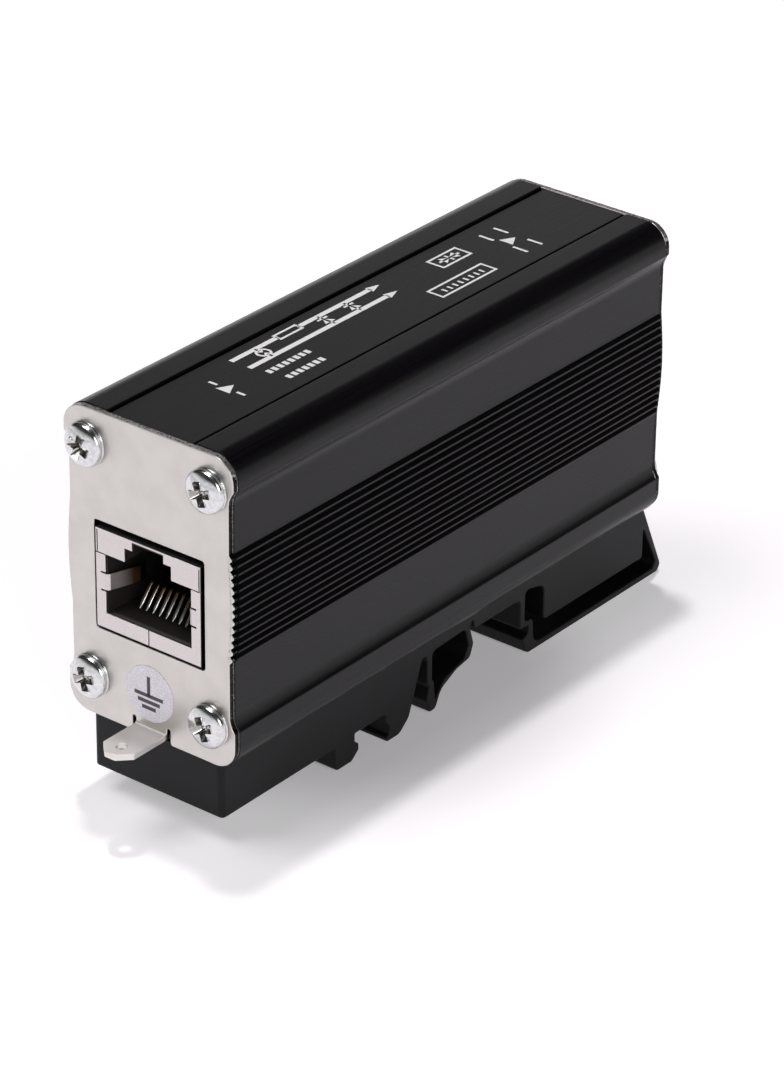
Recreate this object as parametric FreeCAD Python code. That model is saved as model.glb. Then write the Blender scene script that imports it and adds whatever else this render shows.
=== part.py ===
import FreeCAD, Part
import math
import os
from FreeCAD import Vector

# Ethernet surge protector in a DIN rail housing. Millimetres.
# X runs across the housing, Y from the line-in end (front) to the line-out end, Z up.
# While modelling, Y = 0 is the outer face of the front plate and Z = 0 the housing's underside.

# Housing, one length of extruded tube
housing_length = 83.6
housing_height = 41.0
jack_side_room = 2.55
corner_radius = 3.3
side_wall = 1.6
roof_thickness = 2.0
floor_thickness = 4.4
lower_shoulder = 5.3
upper_shoulder = 4.1
shoulder_step = 0.75
shoulder_slope = 0.97
shoulder_sweep = 3.0
shoulder_round = 0.4
lower_waist_share = 0.531
tooth_count = 14
tooth_pitch = 1.015
tooth_height = 0.4
tooth_flat = 0.22
belly_bulge = 0.45
label_half_width = 6.25
label_recess = 0.2
groove_width = 0.5
groove_depth = 0.6

# Slot in the housing floor that the foot slides into
slot_half_width = 3.4
slot_lip = 1.2
slot_undercut = 1.6
slot_room = 1.8
slide_gap = 0.1

# End plates, punched from sheet
plate_thickness = 0.8
plate_inset = 0.15
plate_corner = 3.0
cutout_side_gap = 0.3
cutout_bottom_gap = 0.35
cutout_top_gap = 0.85
cutout_corner = 0.35

# Earth tab, bent forward from the front plate
tab_width = 4.8
tab_reach = 7.45
tab_height = 1.42
tab_chamfer = 1.6
tab_hole_radius = 0.7
tab_hole_setback = 2.1
tab_bend_radius = 0.4
tab_slot_width = 0.55
tab_slot_top = 2.24
tab_slot_corner = 0.4

# Earth label
label_radius = 3.7
label_height = 6.05
label_shift = -0.15
label_thickness = 0.1

# Pan head screws, M3 by 8
screw_radius = 1.5
screw_length = 8.0
screw_head_radius = 2.8
screw_head_height = 1.8
screw_edge = 0.45
screw_edge_width = 0.6
screw_inset_x = 3.8
screw_inset_bottom = 5.4
screw_inset_top = 4.75
screw_boss_radius = 2.9
screw_channel_gap = 0.05
screw_hole_gap = 0.2
recess_reach = 1.42
recess_root = 0.4
recess_tip = 0.52
recess_depth = 1.4
recess_taper = 0.55
recess_entry = 0.1
front_recess_turns = (-14, -22, 20, -17)
rear_recess_turns = (35, 8, -30, 55)

# Circuit board and the rails that hold it
board_top = 12.6
board_thickness = 1.6
board_side_gap = 0.2
board_end_gap = 0.2
board_gap = 0.1
rail_height = 1.1
rail_reach = 1.45
board_hole_gap = 0.12

# Shielded sockets
jack_width = 16.3
jack_height = 13.2
jack_stand_out = 0.2
shield_sheet = 0.25
opening_half_width = 6.6
opening_floor = 2.15
opening_top = 10.0
latch_half_width = 3.57
latch_top = 11.8
latch_slot_half_width = 2.4
flap_gap = 0.12
flap_side_gap = 0.15
lip_seam = 0.15
finger_bottom = 5.2
finger_height = 2.15
finger_slot = 0.22
finger_root = 0.75
finger_reach = 4.5
finger_lean = 1.65
finger_curl = 1.1
leg_width = 1.6
leg_length = 2.4
leg_setback = 9.0

# Plastic insert inside each shield
insert_gap = 0.05
insert_depth = 13.5
insert_back_wall = 1.2
insert_roof = 0.3
insert_floor = 1.2
insert_tail_length = 7.0
insert_lip_radius = 0.8
shield_back_gap = 0.25

# Contacts in each socket
contact_count = 8
contact_pitch = 1.016
contact_width = 0.45
contact_thickness = 0.3
contact_tip_depth = 2.5
contact_tip_height = 0.65
contact_rise = 2.65
contact_angle = 49.0
contact_point = 0.6
contact_bend = 0.7
contact_row_setbacks = (1.7, 4.2)
contact_tail = 2.6
contact_nib = 0.05
contact_gap = 0.05

# Gas arresters and diode arrays on the board
channel_count = 4
channel_pitch = 10.2
arrester_body = 4.4
arrester_length = 8.4
arrester_flange = 5.0
arrester_flange_thickness = 0.8
arrester_x = -4.5
diode_width = 3.9
diode_length = 4.9
diode_height = 1.5
diode_lift = 0.15
diode_x = 3.2
diode_lead_count = 4
diode_lead_root = 0.2
diode_lead_knee = 0.35
diode_lead_reach = 1.0
diode_lead_width = 0.4
diode_lead_pitch = 1.27
diode_lead_thickness = 0.2

# Earth spring from the board to the housing wall
spring_thickness = 0.3
spring_width = 5.0
spring_foot = 2.0
spring_foot_inset = 4.35
spring_rise = 1.9
spring_top = 5.2
spring_return = 2.4
spring_return_lean = 1.0
spring_touch_gap = 0.05

# Insulating film on the housing floor
film_thickness = 0.2
film_side_gap = 0.55
film_end_gap = 0.7

# Rail foot, one moulding
rail_width = 35.0
rail_play = 0.2
foot_half_width = 10.1
foot_front = 0.9
foot_front_round = 0.8
runner_end_gap = 0.35
foot_drop = 11.5
foot_edge = 0.4
hook_round = 0.8
block_drop = 7.8
seat_front = 26.0
seat_drop = 7.4
notch_height = 1.2

# Hook that goes under the rail's front brim
hook_depth = 3.9
hook_drop = 11.1
hook_sole_setback = 0.6
hook_nose = 0.75
hook_nose_slope = 0.5
hook_nose_height = 0.9

# Stop leg that locates the rail's channel
stop_leg_front = 32.0
stop_leg_shoulder = 1.2
stop_leg_step = 0.7
stop_leg_recess = 1.3
stop_leg_ledge = 0.15
stop_leg_toe = 0.2
stop_leg_sole = 2.6
stop_leg_heel = 1.9
stop_leg_heel_rise = 1.6
stop_leg_heel_round = 1.6
slit_top = 2.7
slit_width = 1.2
slit_foot = 1.0
slit_lean = 0.2
slit_head = 0.3
slit_round = 0.4

# Hollow spring leg
spring_leg_front = 40.25
spring_leg_back = 49.7
spring_leg_wall = 1.0
spring_leg_drop = 11.1
spring_leg_notch_top = 4.2
spring_leg_notch = 0.4
spring_leg_notch_slope = 0.5
spring_leg_notch_height = 2.4
spring_leg_toe = 0.5
spring_leg_sole = 1.3
spring_leg_calf = 2.9
spring_leg_calf_drop = 1.4
spring_leg_knee = 6.0
spring_leg_knee_rise = 0.1
spring_leg_calf_round = 2.0
spring_leg_corner = 0.7
spring_leg_corner_rise = 0.6
spring_leg_side_rise = 2.4
spring_leg_side_lean = 0.75
spring_leg_round = 0.9
spring_hollow_round = 0.8
spring_hollow_toe_rise = 1.3
spring_hollow_peak = 0.7

# Window between spring leg and catch
window_front = 50.2
window_top = 3.0
window_lip = 0.4
window_lip_width = 0.4
window_slit_rise = 1.3
window_slit_width = 0.75
window_edge = 0.3

# Catch that snaps over the rail's rear brim, and the spring loop behind it
catch_wall = 1.0
catch_ledge = 1.8
catch_nose = 1.2
catch_nose_slope = 0.5
catch_chin = 0.6
catch_chin_rise = 0.5
catch_back = 0.2
catch_round = 0.8
loop_band = 0.9
loop_gap = 2.6
loop_block_front = 64.4
loop_block_slope = 0.9
loop_top = 2.0
loop_round = 1.3
loop_shelf = 0.7
loop_wedge_top = 3.95
loop_wedge_setback = 0.45
tail_overhang = 1.3
tail_lean = 5.15
tail_corner = 1.0
tail_wall = 1.1

# Values worked out from the ones above
housing_front = plate_thickness
housing_back = housing_front + housing_length
total_length = housing_back + plate_thickness
jack_half = jack_width / 2
inner_half_width = jack_half + jack_side_room
waist_half_width = inner_half_width + side_wall
shoulder_half_width = waist_half_width + shoulder_step
rib_zone = tooth_count * tooth_pitch
plain_waist = housing_height - lower_shoulder - upper_shoulder - 2 * shoulder_slope - rib_zone
screw_x = shoulder_half_width - screw_inset_x
screw_heights = (screw_inset_bottom, housing_height - screw_inset_top)
inner_top = housing_height - roof_thickness
board_half_width = inner_half_width - board_side_gap
film_half_width = screw_x - screw_boss_radius - film_side_gap
board_bottom = board_top - board_thickness
seat_back = seat_front + rail_width + rail_play
tail_top = housing_back + tail_overhang
tail_bottom = tail_top + tail_lean
insert_back = insert_depth + insert_tail_length
jack_depth = insert_back + shield_back_gap + shield_sheet
cutout_half = jack_half + cutout_side_gap
cutout_bottom = board_top - cutout_bottom_gap
cutout_top = board_top + jack_height + cutout_top_gap


def box(x0, x1, y0, y1, z0, z1):
    return Part.makeBox(x1 - x0, y1 - y0, z1 - z0, Vector(x0, y0, z0))


def fuse(shapes):
    whole = shapes[0].multiFuse(shapes[1:]) if len(shapes) > 1 else shapes[0]
    return whole.removeSplitter()


def outline(points, to_space):
    """Closed wire through corners (u, v, r), each corner rounded by an arc of radius r."""
    starts = []
    ends = []
    arcs = []
    count = len(points)
    for i in range(count):
        pu, pv, radius = points[i]
        before = points[i - 1]
        after = points[(i + 1) % count]
        a = Vector(before[0] - pu, before[1] - pv, 0)
        b = Vector(after[0] - pu, after[1] - pv, 0)
        corner = Vector(pu, pv, 0)
        a.normalize()
        b.normalize()
        half = a.getAngle(b) / 2
        if radius < 1e-6 or half > math.pi / 2 - 1e-4:
            starts.append(corner)
            ends.append(corner)
            arcs.append(None)
            continue
        reach = radius / math.tan(half)
        inward = a + b
        inward.normalize()
        starts.append(corner + a * reach)
        ends.append(corner + b * reach)
        arcs.append(corner + inward * (radius / math.sin(half) - radius))
    edges = []
    for i in range(count):
        if arcs[i] is not None:
            edges.append(Part.Arc(to_space(starts[i]), to_space(arcs[i]), to_space(ends[i])).toShape())
        leave = to_space(ends[i])
        arrive = to_space(starts[(i + 1) % count])
        if leave.distanceToPoint(arrive) > 1e-6:
            edges.append(Part.LineSegment(leave, arrive).toShape())
    return Part.Wire(edges)


def prism_x(points, x0, x1):
    """Outline in Y and Z, extruded along X."""
    face = Part.Face(outline(points, lambda p: Vector(x0, p.x, p.y)))
    return face.extrude(Vector(x1 - x0, 0, 0))


def prism_y(points, y0, y1):
    """Outline in X and Z, extruded along Y."""
    face = Part.Face(outline(points, lambda p: Vector(p.x, y0, p.y)))
    return face.extrude(Vector(0, y1 - y0, 0))


def prism_z(points, z0, z1):
    """Outline in X and Y, extruded along Z."""
    face = Part.Face(outline(points, lambda p: Vector(p.x, p.y, z0)))
    return face.extrude(Vector(0, 0, z1 - z0))


def ribbon(path, thickness):
    """Outline of a bent strip that follows path, a list of (u, v, bend radius at mid-thickness)."""
    half = thickness / 2
    sides = ([], [])
    for i in range(len(path)):
        here = Vector(path[i][0], path[i][1], 0)
        into = here - Vector(path[i - 1][0], path[i - 1][1], 0) if i else None
        out = Vector(path[i + 1][0], path[i + 1][1], 0) - here if i + 1 < len(path) else None
        into = into or out
        out = out or into
        into = Vector(into).normalize()
        out = Vector(out).normalize()
        normal_in = Vector(-into.y, into.x, 0)
        normal_out = Vector(-out.y, out.x, 0)
        mitre = (normal_in + normal_out).normalize()
        stretch = half / mitre.dot(normal_in)
        turn = into.cross(out).z
        radius = path[i][2]
        for side, sign in ((sides[0], 1), (sides[1], -1)):
            corner = here + mitre * (stretch * sign)
            side_radius = radius - half * sign if turn > 0 else radius + half * sign
            side.append((corner.x, corner.y, max(side_radius, 0) if radius > 0 else 0))
    return sides[0] + sides[1][::-1]


def waist_points(inset, tip_round, with_ribs):
    """Right side of the section between the two shoulders, from bottom to top."""
    waist = waist_half_width - inset
    shoulder = shoulder_half_width - inset
    belly_bottom = lower_shoulder + shoulder_slope + plain_waist * lower_waist_share
    points = [(shoulder, lower_shoulder, tip_round), (waist, lower_shoulder + shoulder_slope, shoulder_sweep)]
    for tooth in range(tooth_count + 1):
        z = belly_bottom + tooth * tooth_pitch
        swell = belly_bulge * math.sin(math.pi * (z - belly_bottom) / rib_zone)
        points.append((waist + swell, z, 0))
        if with_ribs and tooth < tooth_count:
            middle = z + tooth_pitch / 2
            tip = waist + tooth_height + belly_bulge * math.sin(math.pi * (middle - belly_bottom) / rib_zone)
            points.append((tip, middle - tooth_flat / 2, 0))
            points.append((tip, middle + tooth_flat / 2, 0))
    upper = housing_height - upper_shoulder
    points.append((waist, upper - shoulder_slope, shoulder_sweep))
    points.append((shoulder, upper, tip_round))
    return points


def section_points(inset, radius, tip_round, for_housing):
    """Closed outline of the housing with its ribs and label zone, or of a smooth plate inside it by inset."""
    shoulder = shoulder_half_width - inset
    top = housing_height - inset
    right = [(shoulder, inset, radius)] + waist_points(inset, tip_round, for_housing)
    right += [(shoulder, top, radius)]
    if for_housing:
        groove = label_half_width + groove_width
        right += [(groove, top, 0), (groove, top - groove_depth, 0)]
        right += [(label_half_width, top - groove_depth, 0), (label_half_width, top - label_recess, 0)]
    return right + [(-x, z, r) for x, z, r in reversed(right)]


def screw_places():
    """Screw axes, in X and Z: left and right at the bottom, then at the top."""
    return [(side * screw_x, z) for z in screw_heights for side in (-1, 1)]


def make_housing():
    tube = prism_y(section_points(0, corner_radius, shoulder_round, True), housing_front, housing_back)
    hollow = box(-inner_half_width, inner_half_width, housing_front, housing_back, floor_thickness, inner_top)
    parts = [tube.cut(hollow)]
    for x, z in screw_places():
        boss = Part.makeCylinder(screw_boss_radius, housing_length,
                                 Vector(x, housing_front, z), Vector(0, 1, 0))
        parts.append(boss.common(tube))
        side = math.copysign(1, x)
        web_end = inner_top if z > housing_height / 2 else floor_thickness
        web_x = sorted((x - side * screw_radius, side * inner_half_width))
        web_z = sorted((z, web_end))
        parts.append(box(web_x[0], web_x[1], housing_front, housing_back, web_z[0], web_z[1]))
    for side in (-1, 1):
        reach = sorted((side * (inner_half_width - rail_reach), side * (inner_half_width + side_wall / 2)))
        for z0 in (board_bottom - board_gap - rail_height, board_top + board_gap):
            parts.append(box(reach[0], reach[1], housing_front, housing_back, z0, z0 + rail_height))
    body = fuse(parts)
    cuts = []
    for x, z in screw_places():
        cuts.append(Part.makeCylinder(screw_radius + screw_channel_gap, housing_length,
                                      Vector(x, housing_front, z), Vector(0, 1, 0)))
    wide = slot_half_width + slot_undercut
    cuts.append(box(-slot_half_width, slot_half_width, housing_front, housing_back, -1, slot_lip + slot_room))
    cuts.append(box(-wide, wide, housing_front, housing_back, slot_lip, slot_lip + slot_room))
    return body.cut(cuts)


def make_plate():
    """End plate with its outer face at Y = 0."""
    sheet = prism_y(section_points(plate_inset, plate_corner, 0, False), 0, plate_thickness)
    cuts = [prism_y([(-cutout_half, cutout_bottom, cutout_corner),
                     (cutout_half, cutout_bottom, cutout_corner),
                     (cutout_half, cutout_top, cutout_corner), (-cutout_half, cutout_top, cutout_corner)],
                    -1, plate_thickness + 1)]
    for x, z in screw_places():
        cuts.append(Part.makeCylinder(screw_radius + screw_hole_gap, plate_thickness + 2,
                                      Vector(x, -1, z), Vector(0, 1, 0)))
    return sheet.cut(cuts)


def make_tab():
    """Earth tab: the sheet comes down, bends forward and ends in a chamfered tip with a hole."""
    half = tab_width / 2
    under = tab_height - plate_thickness
    side = [(plate_thickness, tab_slot_top, 0), (plate_thickness, under, tab_bend_radius + plate_thickness),
            (-tab_reach, under, 0), (-tab_reach, tab_height, 0), (0, tab_height, tab_bend_radius),
            (0, tab_slot_top, 0)]
    plan = [(-half, plate_thickness, 0), (-half, tab_chamfer - tab_reach, 0),
            (tab_chamfer - half, -tab_reach, 0), (half - tab_chamfer, -tab_reach, 0),
            (half, tab_chamfer - tab_reach, 0), (half, plate_thickness, 0)]
    tab = prism_x(side, -half, half).common(prism_z(plan, 0, tab_slot_top))
    hole = Part.makeCylinder(tab_hole_radius, housing_height, Vector(0, tab_hole_setback - tab_reach, 0))
    return tab.cut(hole)


def make_front_plate():
    half = tab_width / 2
    slot = half + tab_slot_width
    low = -1
    notch = [(-slot - 1, low, 0), (-slot - 1, plate_inset, 0), (-slot, plate_inset, tab_slot_corner),
             (-slot, tab_slot_top, tab_slot_width / 2), (-half, tab_slot_top, tab_slot_width / 2)]
    notch_right = [(-x, z, r) for x, z, r in reversed(notch)]
    bend_room = [(-half, tab_slot_top / 2, 0), (half, tab_slot_top / 2, 0)]
    whole = notch + bend_room + notch_right
    sheet = make_plate().cut(prism_y(whole, -1, plate_thickness + 1))
    under_bend = box(-half, half, -1, plate_thickness + 1, low, tab_slot_top)
    return fuse([sheet.cut(under_bend), make_tab()])


def make_rear_plate():
    return turned(make_plate())


def turned(shape):
    """The same piece at the line-out end: turned half a turn about Z."""
    copy = shape.copy()
    copy.rotate(Vector(0, 0, 0), Vector(0, 0, 1), 180)
    copy.translate(Vector(0, total_length, 0))
    return copy


def recess_wire(scale, y):
    """Cross with flared wings, in the plane of the screw's head."""
    points = []
    for wing in range(4):
        angle = math.radians(90 * wing)
        along = Vector(math.cos(angle), math.sin(angle), 0)
        across = Vector(-along.y, along.x, 0)
        root = along * recess_root - across * recess_root
        near = along * recess_reach - across * recess_tip
        far = along * recess_reach + across * recess_tip
        for corner in (root, near, far):
            points.append((corner.x * scale, corner.y * scale, 0))
    return outline(points, lambda p: Vector(p.x, y, p.y))


def make_screw(turn):
    """Pan head screw at the origin, head towards -Y, thread drawn as a plain shank."""
    profile = [(0, screw_length, 0), (screw_radius, screw_length, 0), (screw_radius, 0, 0),
               (screw_head_radius, 0, 0), (screw_head_radius, screw_edge - screw_head_height, 0),
               (screw_head_radius - screw_edge_width, -screw_head_height, 0), (0, -screw_head_height, 0)]
    face = Part.Face(outline(profile, lambda p: Vector(p.x, p.y, 0)))
    screw = face.revolve(Vector(0, 0, 0), Vector(0, 1, 0), 360)
    mouth = -screw_head_height - recess_entry
    wires = [recess_wire(1, mouth), recess_wire(recess_taper, mouth + recess_depth)]
    recess = Part.makeLoft(wires, True, True)
    screw = screw.cut(recess)
    screw.rotate(Vector(0, 0, 0), Vector(0, 1, 0), turn)
    return screw


def make_screws(turns):
    """The four screws of one end, as separate solids."""
    screws = []
    for (x, z), turn in zip(screw_places(), turns):
        screw = make_screw(turn)
        screw.translate(Vector(x, 0, z))
        screws.append(screw)
    return Part.Compound(screws)


def make_label():
    middle = Vector(label_shift, -label_thickness, label_height)
    return Part.makeCylinder(label_radius, label_thickness, middle, Vector(0, 1, 0))


def opening_points(half, floor, top, latch_half, latch, slot_half, roof):
    """Socket outline with its two latch steps, in X and height above the board."""
    right = [(half, floor, 0), (half, top, 0), (latch_half, top, 0), (latch_half, latch, 0),
             (slot_half, latch, 0), (slot_half, roof, 0)]
    return right + [(-x, z, r) for x, z, r in reversed(right)]


def make_finger(side):
    """Earth spring finger of the shield, folded back into the socket."""
    face = shield_sheet / 2
    edge = opening_half_width
    path = [(side * (edge + finger_root), face, 0), (side * (edge - shield_sheet), face, 0.5),
            (side * (edge - finger_lean), finger_reach, 0.8),
            (side * (edge - finger_lean + finger_curl / 3), finger_reach + finger_curl, 0)]
    return prism_z(ribbon(path, shield_sheet), finger_bottom, finger_bottom + finger_height)


def make_shield():
    """Folded sheet shield of one socket: mouth at Y = 0, board at Z = 0."""
    inner = jack_half - shield_sheet
    roof = jack_height - shield_sheet
    shell = box(-jack_half, jack_half, 0, jack_depth, 0, jack_height)
    shell = shell.cut(box(-inner, inner, shield_sheet, jack_depth - shield_sheet, -1, roof))
    mouth = opening_points(opening_half_width, opening_floor, opening_top, latch_half_width, latch_top,
                           latch_slot_half_width, roof)
    cuts = [prism_y(mouth, -1, shield_sheet + 0.01)]
    cuts.append(box(-lip_seam / 2, lip_seam / 2, -1, shield_sheet, -1, opening_floor + 1))
    for side in (-1, 1):
        across = sorted((side * (opening_half_width - 1), side * (jack_half + 1)))
        cuts.append(box(across[0], across[1], -1, shield_sheet, opening_top - flap_gap, opening_top))
        slit = sorted((side * inner, side * (inner - flap_side_gap)))
        cuts.append(box(slit[0], slit[1], -1, shield_sheet, opening_top - flap_gap, roof))
        root = sorted((side * (opening_half_width - 1), side * (opening_half_width + finger_root)))
        for z in (finger_bottom - finger_slot, finger_bottom + finger_height):
            cuts.append(box(root[0], root[1], -1, shield_sheet + 0.01, z, z + finger_slot))
    parts = [shell.cut(cuts)]
    for side in (-1, 1):
        parts.append(make_finger(side))
        leg = sorted((side * jack_half, side * inner))
        parts.append(box(leg[0], leg[1], leg_setback, leg_setback + leg_width, -leg_length, 1))
    return fuse(parts)


def contact_row(index):
    return insert_depth + contact_row_setbacks[index % 2]


def contact_x(index):
    return (index - (contact_count - 1) / 2) * contact_pitch


def contact_level():
    """Height above the board of the contacts' level stretch."""
    return opening_floor + contact_tip_height + contact_rise


def make_insert():
    """Moulded insert of one socket, with the plug's cavity and the comb for the contacts."""
    outer = jack_half - shield_sheet - insert_gap
    front = shield_sheet + insert_gap
    top = jack_height - shield_sheet - insert_gap
    block = box(-outer, outer, front, insert_depth, 0, top)
    cavity = opening_points(opening_half_width - insert_gap, opening_floor, opening_top + insert_gap,
                            latch_half_width + insert_gap, latch_top + insert_gap,
                            latch_slot_half_width + insert_gap, top - insert_roof)
    parts = [block.cut(prism_y(cavity, 0, insert_depth - insert_back_wall))]
    parts.append(box(-outer, outer, insert_depth, insert_back, 0, insert_floor))
    body = fuse(parts)
    lip = [(front - 1, opening_floor + 1, 0), (front - 1, opening_floor - insert_lip_radius, 0),
           (front, opening_floor - insert_lip_radius, 0), (front, opening_floor, insert_lip_radius),
           (front + insert_lip_radius, opening_floor, 0), (front + insert_lip_radius, opening_floor + 1, 0)]
    cuts = [prism_x(lip, -opening_half_width + insert_gap, opening_half_width - insert_gap)]
    room = contact_thickness / 2 + contact_gap
    half = contact_width / 2 + contact_gap
    for i in range(contact_count):
        x = contact_x(i)
        level = contact_level()
        row = contact_row(i)
        cuts.append(box(x - half, x + half, insert_depth - insert_back_wall - 1, insert_depth + 1,
                        level - room, level + room))
        cuts.append(box(x - half, x + half, row - room, row + room, -1, insert_floor + 1))
    return body.cut(cuts)


def make_contact(index):
    """One contact: pointed tip at the socket's floor, sloping rise, level run, tail through the board."""
    x = contact_x(index)
    level = contact_level()
    slope = math.radians(contact_angle)
    tip = (contact_tip_depth, level - contact_rise)
    shoulder = contact_tip_depth + contact_rise / math.tan(slope)
    path = [(tip[0], tip[1], 0), (shoulder, level, contact_bend), (contact_row(index), level, 0),
            (contact_row(index), -contact_tail, 0)]
    strip = prism_x(ribbon(path, contact_thickness), x - contact_width / 2, x + contact_width / 2)
    half = contact_width / 2
    front = tip[0] - contact_thickness
    plan = [(x - half, jack_depth, 0), (x - half, front + contact_point, 0), (x - contact_nib, front, 0),
            (x + contact_nib, front, 0), (x + half, front + contact_point, 0), (x + half, jack_depth, 0)]
    return strip.common(prism_z(plan, -contact_tail, jack_height))


def at_front(shape):
    """Moves a socket's piece to the line-in end."""
    copy = shape.copy()
    copy.translate(Vector(0, -jack_stand_out, board_top))
    return copy


def channel_y(index):
    return total_length / 2 + (index - (channel_count - 1) / 2) * channel_pitch


def board_holes():
    """Holes in the board for the contacts and the shield legs."""
    cuts = []
    half = contact_width / 2 + board_hole_gap
    deep = contact_thickness / 2 + board_hole_gap
    for i in range(contact_count):
        x = contact_x(i)
        row = contact_row(i)
        cuts.append(box(x - half, x + half, row - deep, row + deep, -leg_length, leg_length))
    for side in (-1, 1):
        leg = sorted((side * (jack_half + board_hole_gap),
                      side * (jack_half - shield_sheet - board_hole_gap)))
        cuts.append(box(leg[0], leg[1],
                        leg_setback - board_hole_gap, leg_setback + leg_width + board_hole_gap,
                        -leg_length, leg_length))
    ends = [at_front(cut) for cut in cuts]
    return ends + [turned(cut) for cut in ends]


def make_board():
    plate = box(-board_half_width, board_half_width,
                housing_front + board_end_gap, housing_back - board_end_gap,
                board_bottom, board_top)
    return plate.cut(board_holes())


def make_arrester(index):
    """Three-pole gas arrester for surface mounting: square ceramic body between three electrodes."""
    half = arrester_flange / 2
    side = arrester_body / 2
    y = channel_y(index)
    z = board_top + half
    start = arrester_x - arrester_length / 2
    gap = (arrester_length - 3 * arrester_flange_thickness) / 2
    parts = [box(start, start + arrester_length, y - side, y + side, z - side, z + side)]
    for electrode in range(3):
        x = start + electrode * (arrester_flange_thickness + gap)
        parts.append(box(x, x + arrester_flange_thickness, y - half, y + half, board_top, z + half))
    return fuse(parts)


def make_diode_array(index):
    """Small moulded diode package with its leads bent down to the board."""
    half = diode_width / 2
    y = channel_y(index)
    z = board_top + diode_lift
    parts = [box(diode_x - half, diode_x + half,
                 y - diode_length / 2, y + diode_length / 2, z, z + diode_height)]
    knee = z + diode_height / 2
    foot = board_top + diode_lead_thickness / 2
    for side in (-1, 1):
        path = [(diode_x + side * (half - diode_lead_root), knee, 0),
                (diode_x + side * (half + diode_lead_knee), knee, 0),
                (diode_x + side * (half + diode_lead_knee), foot, 0),
                (diode_x + side * (half + diode_lead_reach), foot, 0)]
        for lead in range(diode_lead_count):
            centre = y + (lead - (diode_lead_count - 1) / 2) * diode_lead_pitch
            strip = ribbon(path, diode_lead_thickness)
            parts.append(prism_y(strip, centre - diode_lead_width / 2, centre + diode_lead_width / 2))
    return fuse(parts)


def make_earth_spring():
    """Leaf soldered to the board that presses on the housing's side wall."""
    middle = total_length / 2
    base = board_top + spring_thickness / 2
    foot_x = inner_half_width - spring_foot_inset
    knee_x = foot_x + spring_foot
    touch_x = inner_half_width - spring_touch_gap - spring_thickness / 2
    path = [(foot_x, base, 0), (knee_x, base, 0), (knee_x, base + spring_rise, 0),
            (touch_x, base + spring_top, 0),
            (touch_x - spring_return_lean, base + spring_top + spring_return, 0)]
    return prism_y(ribbon(path, spring_thickness), middle - spring_width / 2, middle + spring_width / 2)


def make_film():
    return box(-film_half_width, film_half_width, housing_front + film_end_gap, housing_back - film_end_gap,
               floor_thickness, floor_thickness + film_thickness)


def hook_points():
    """Front block and the fixed hook that goes under the rail's front brim."""
    nose = seat_front + hook_nose
    front = seat_front - hook_depth
    throat = -seat_drop - notch_height
    return [(foot_front, 0, 0), (foot_front, -block_drop, foot_edge), (front, -block_drop, foot_edge),
            (front, -hook_drop, hook_round), (seat_front - hook_sole_setback, -hook_drop, hook_round),
            (nose, throat - hook_nose_slope - hook_nose_height, foot_edge),
            (nose, throat - hook_nose_slope, 0),
            (seat_front, throat, 0), (seat_front, -seat_drop, 0)]


def stop_leg_points():
    """Leg that drops into the rail's channel and locates it, with the slit behind it."""
    front = stop_leg_front
    inner = front + stop_leg_step
    toe = front + stop_leg_toe
    heel = toe + stop_leg_sole
    shoulder = -seat_drop - stop_leg_shoulder
    recess = shoulder - stop_leg_step - stop_leg_recess
    slit_back = spring_leg_front
    slit_front = slit_back - slit_width
    return [(front, -seat_drop, slit_round), (front, shoulder, foot_edge),
            (inner, shoulder - stop_leg_step, 0),
            (inner, recess, 0), (toe, recess - stop_leg_ledge, 0), (toe, -foot_drop, foot_edge),
            (heel, -foot_drop, stop_leg_heel_round),
            (heel + stop_leg_heel, stop_leg_heel_rise - foot_drop, stop_leg_heel_round),
            (slit_front - slit_lean, -slit_top - slit_foot, stop_leg_heel_round),
            (slit_front + slit_lean, -slit_top, slit_round), (slit_back - slit_head, -slit_top, slit_round)]


def spring_leg_points():
    """Hollow spring leg behind the slit, up to the window for the rail's rear brim."""
    front = spring_leg_front
    back = spring_leg_back
    toe = front + spring_leg_toe
    notch = -slit_top - spring_leg_notch_top
    lip = -window_top + window_lip
    return [(front, -slit_top - slit_foot, slit_round), (front, notch, 0),
            (front + spring_leg_notch, notch - spring_leg_notch_slope, 0),
            (front, notch - spring_leg_notch_height, slit_round),
            (toe, -spring_leg_drop, spring_leg_toe),
            (toe + spring_leg_sole, -spring_leg_drop, spring_leg_round),
            (front + spring_leg_calf, -seat_drop - spring_leg_calf_drop, spring_leg_calf_round),
            (front + spring_leg_knee, -seat_drop + spring_leg_knee_rise, spring_leg_calf_round),
            (back - spring_leg_corner, -seat_drop + spring_leg_corner_rise, spring_leg_round),
            (back, -seat_drop + spring_leg_side_rise, spring_leg_round),
            (back - spring_leg_side_lean, lip, foot_edge),
            (back - window_lip_width, -window_top + window_slit_rise, 0),
            (window_front - window_slit_width, -window_top + window_slit_rise, 0),
            (window_front - window_edge, -window_top, window_edge)]


def catch_points():
    """Thin wall and nose that snap over the rail's rear brim."""
    wall = seat_back - catch_ledge
    throat = -seat_drop - notch_height
    return [(wall, -window_top, catch_round), (wall, -seat_drop, foot_edge), (seat_back, -seat_drop, 0),
            (seat_back, throat, 0), (seat_back - catch_nose, throat - catch_nose_slope, 0),
            (seat_back - catch_chin, catch_chin_rise - foot_drop, foot_edge),
            (seat_back + catch_back, -foot_drop, catch_round)]


def tail_points():
    """Loop's rear corner and the leaning wall that returns to the housing."""
    return [(tail_bottom, -foot_drop, tail_corner), (tail_top, 0, 0)]


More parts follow.
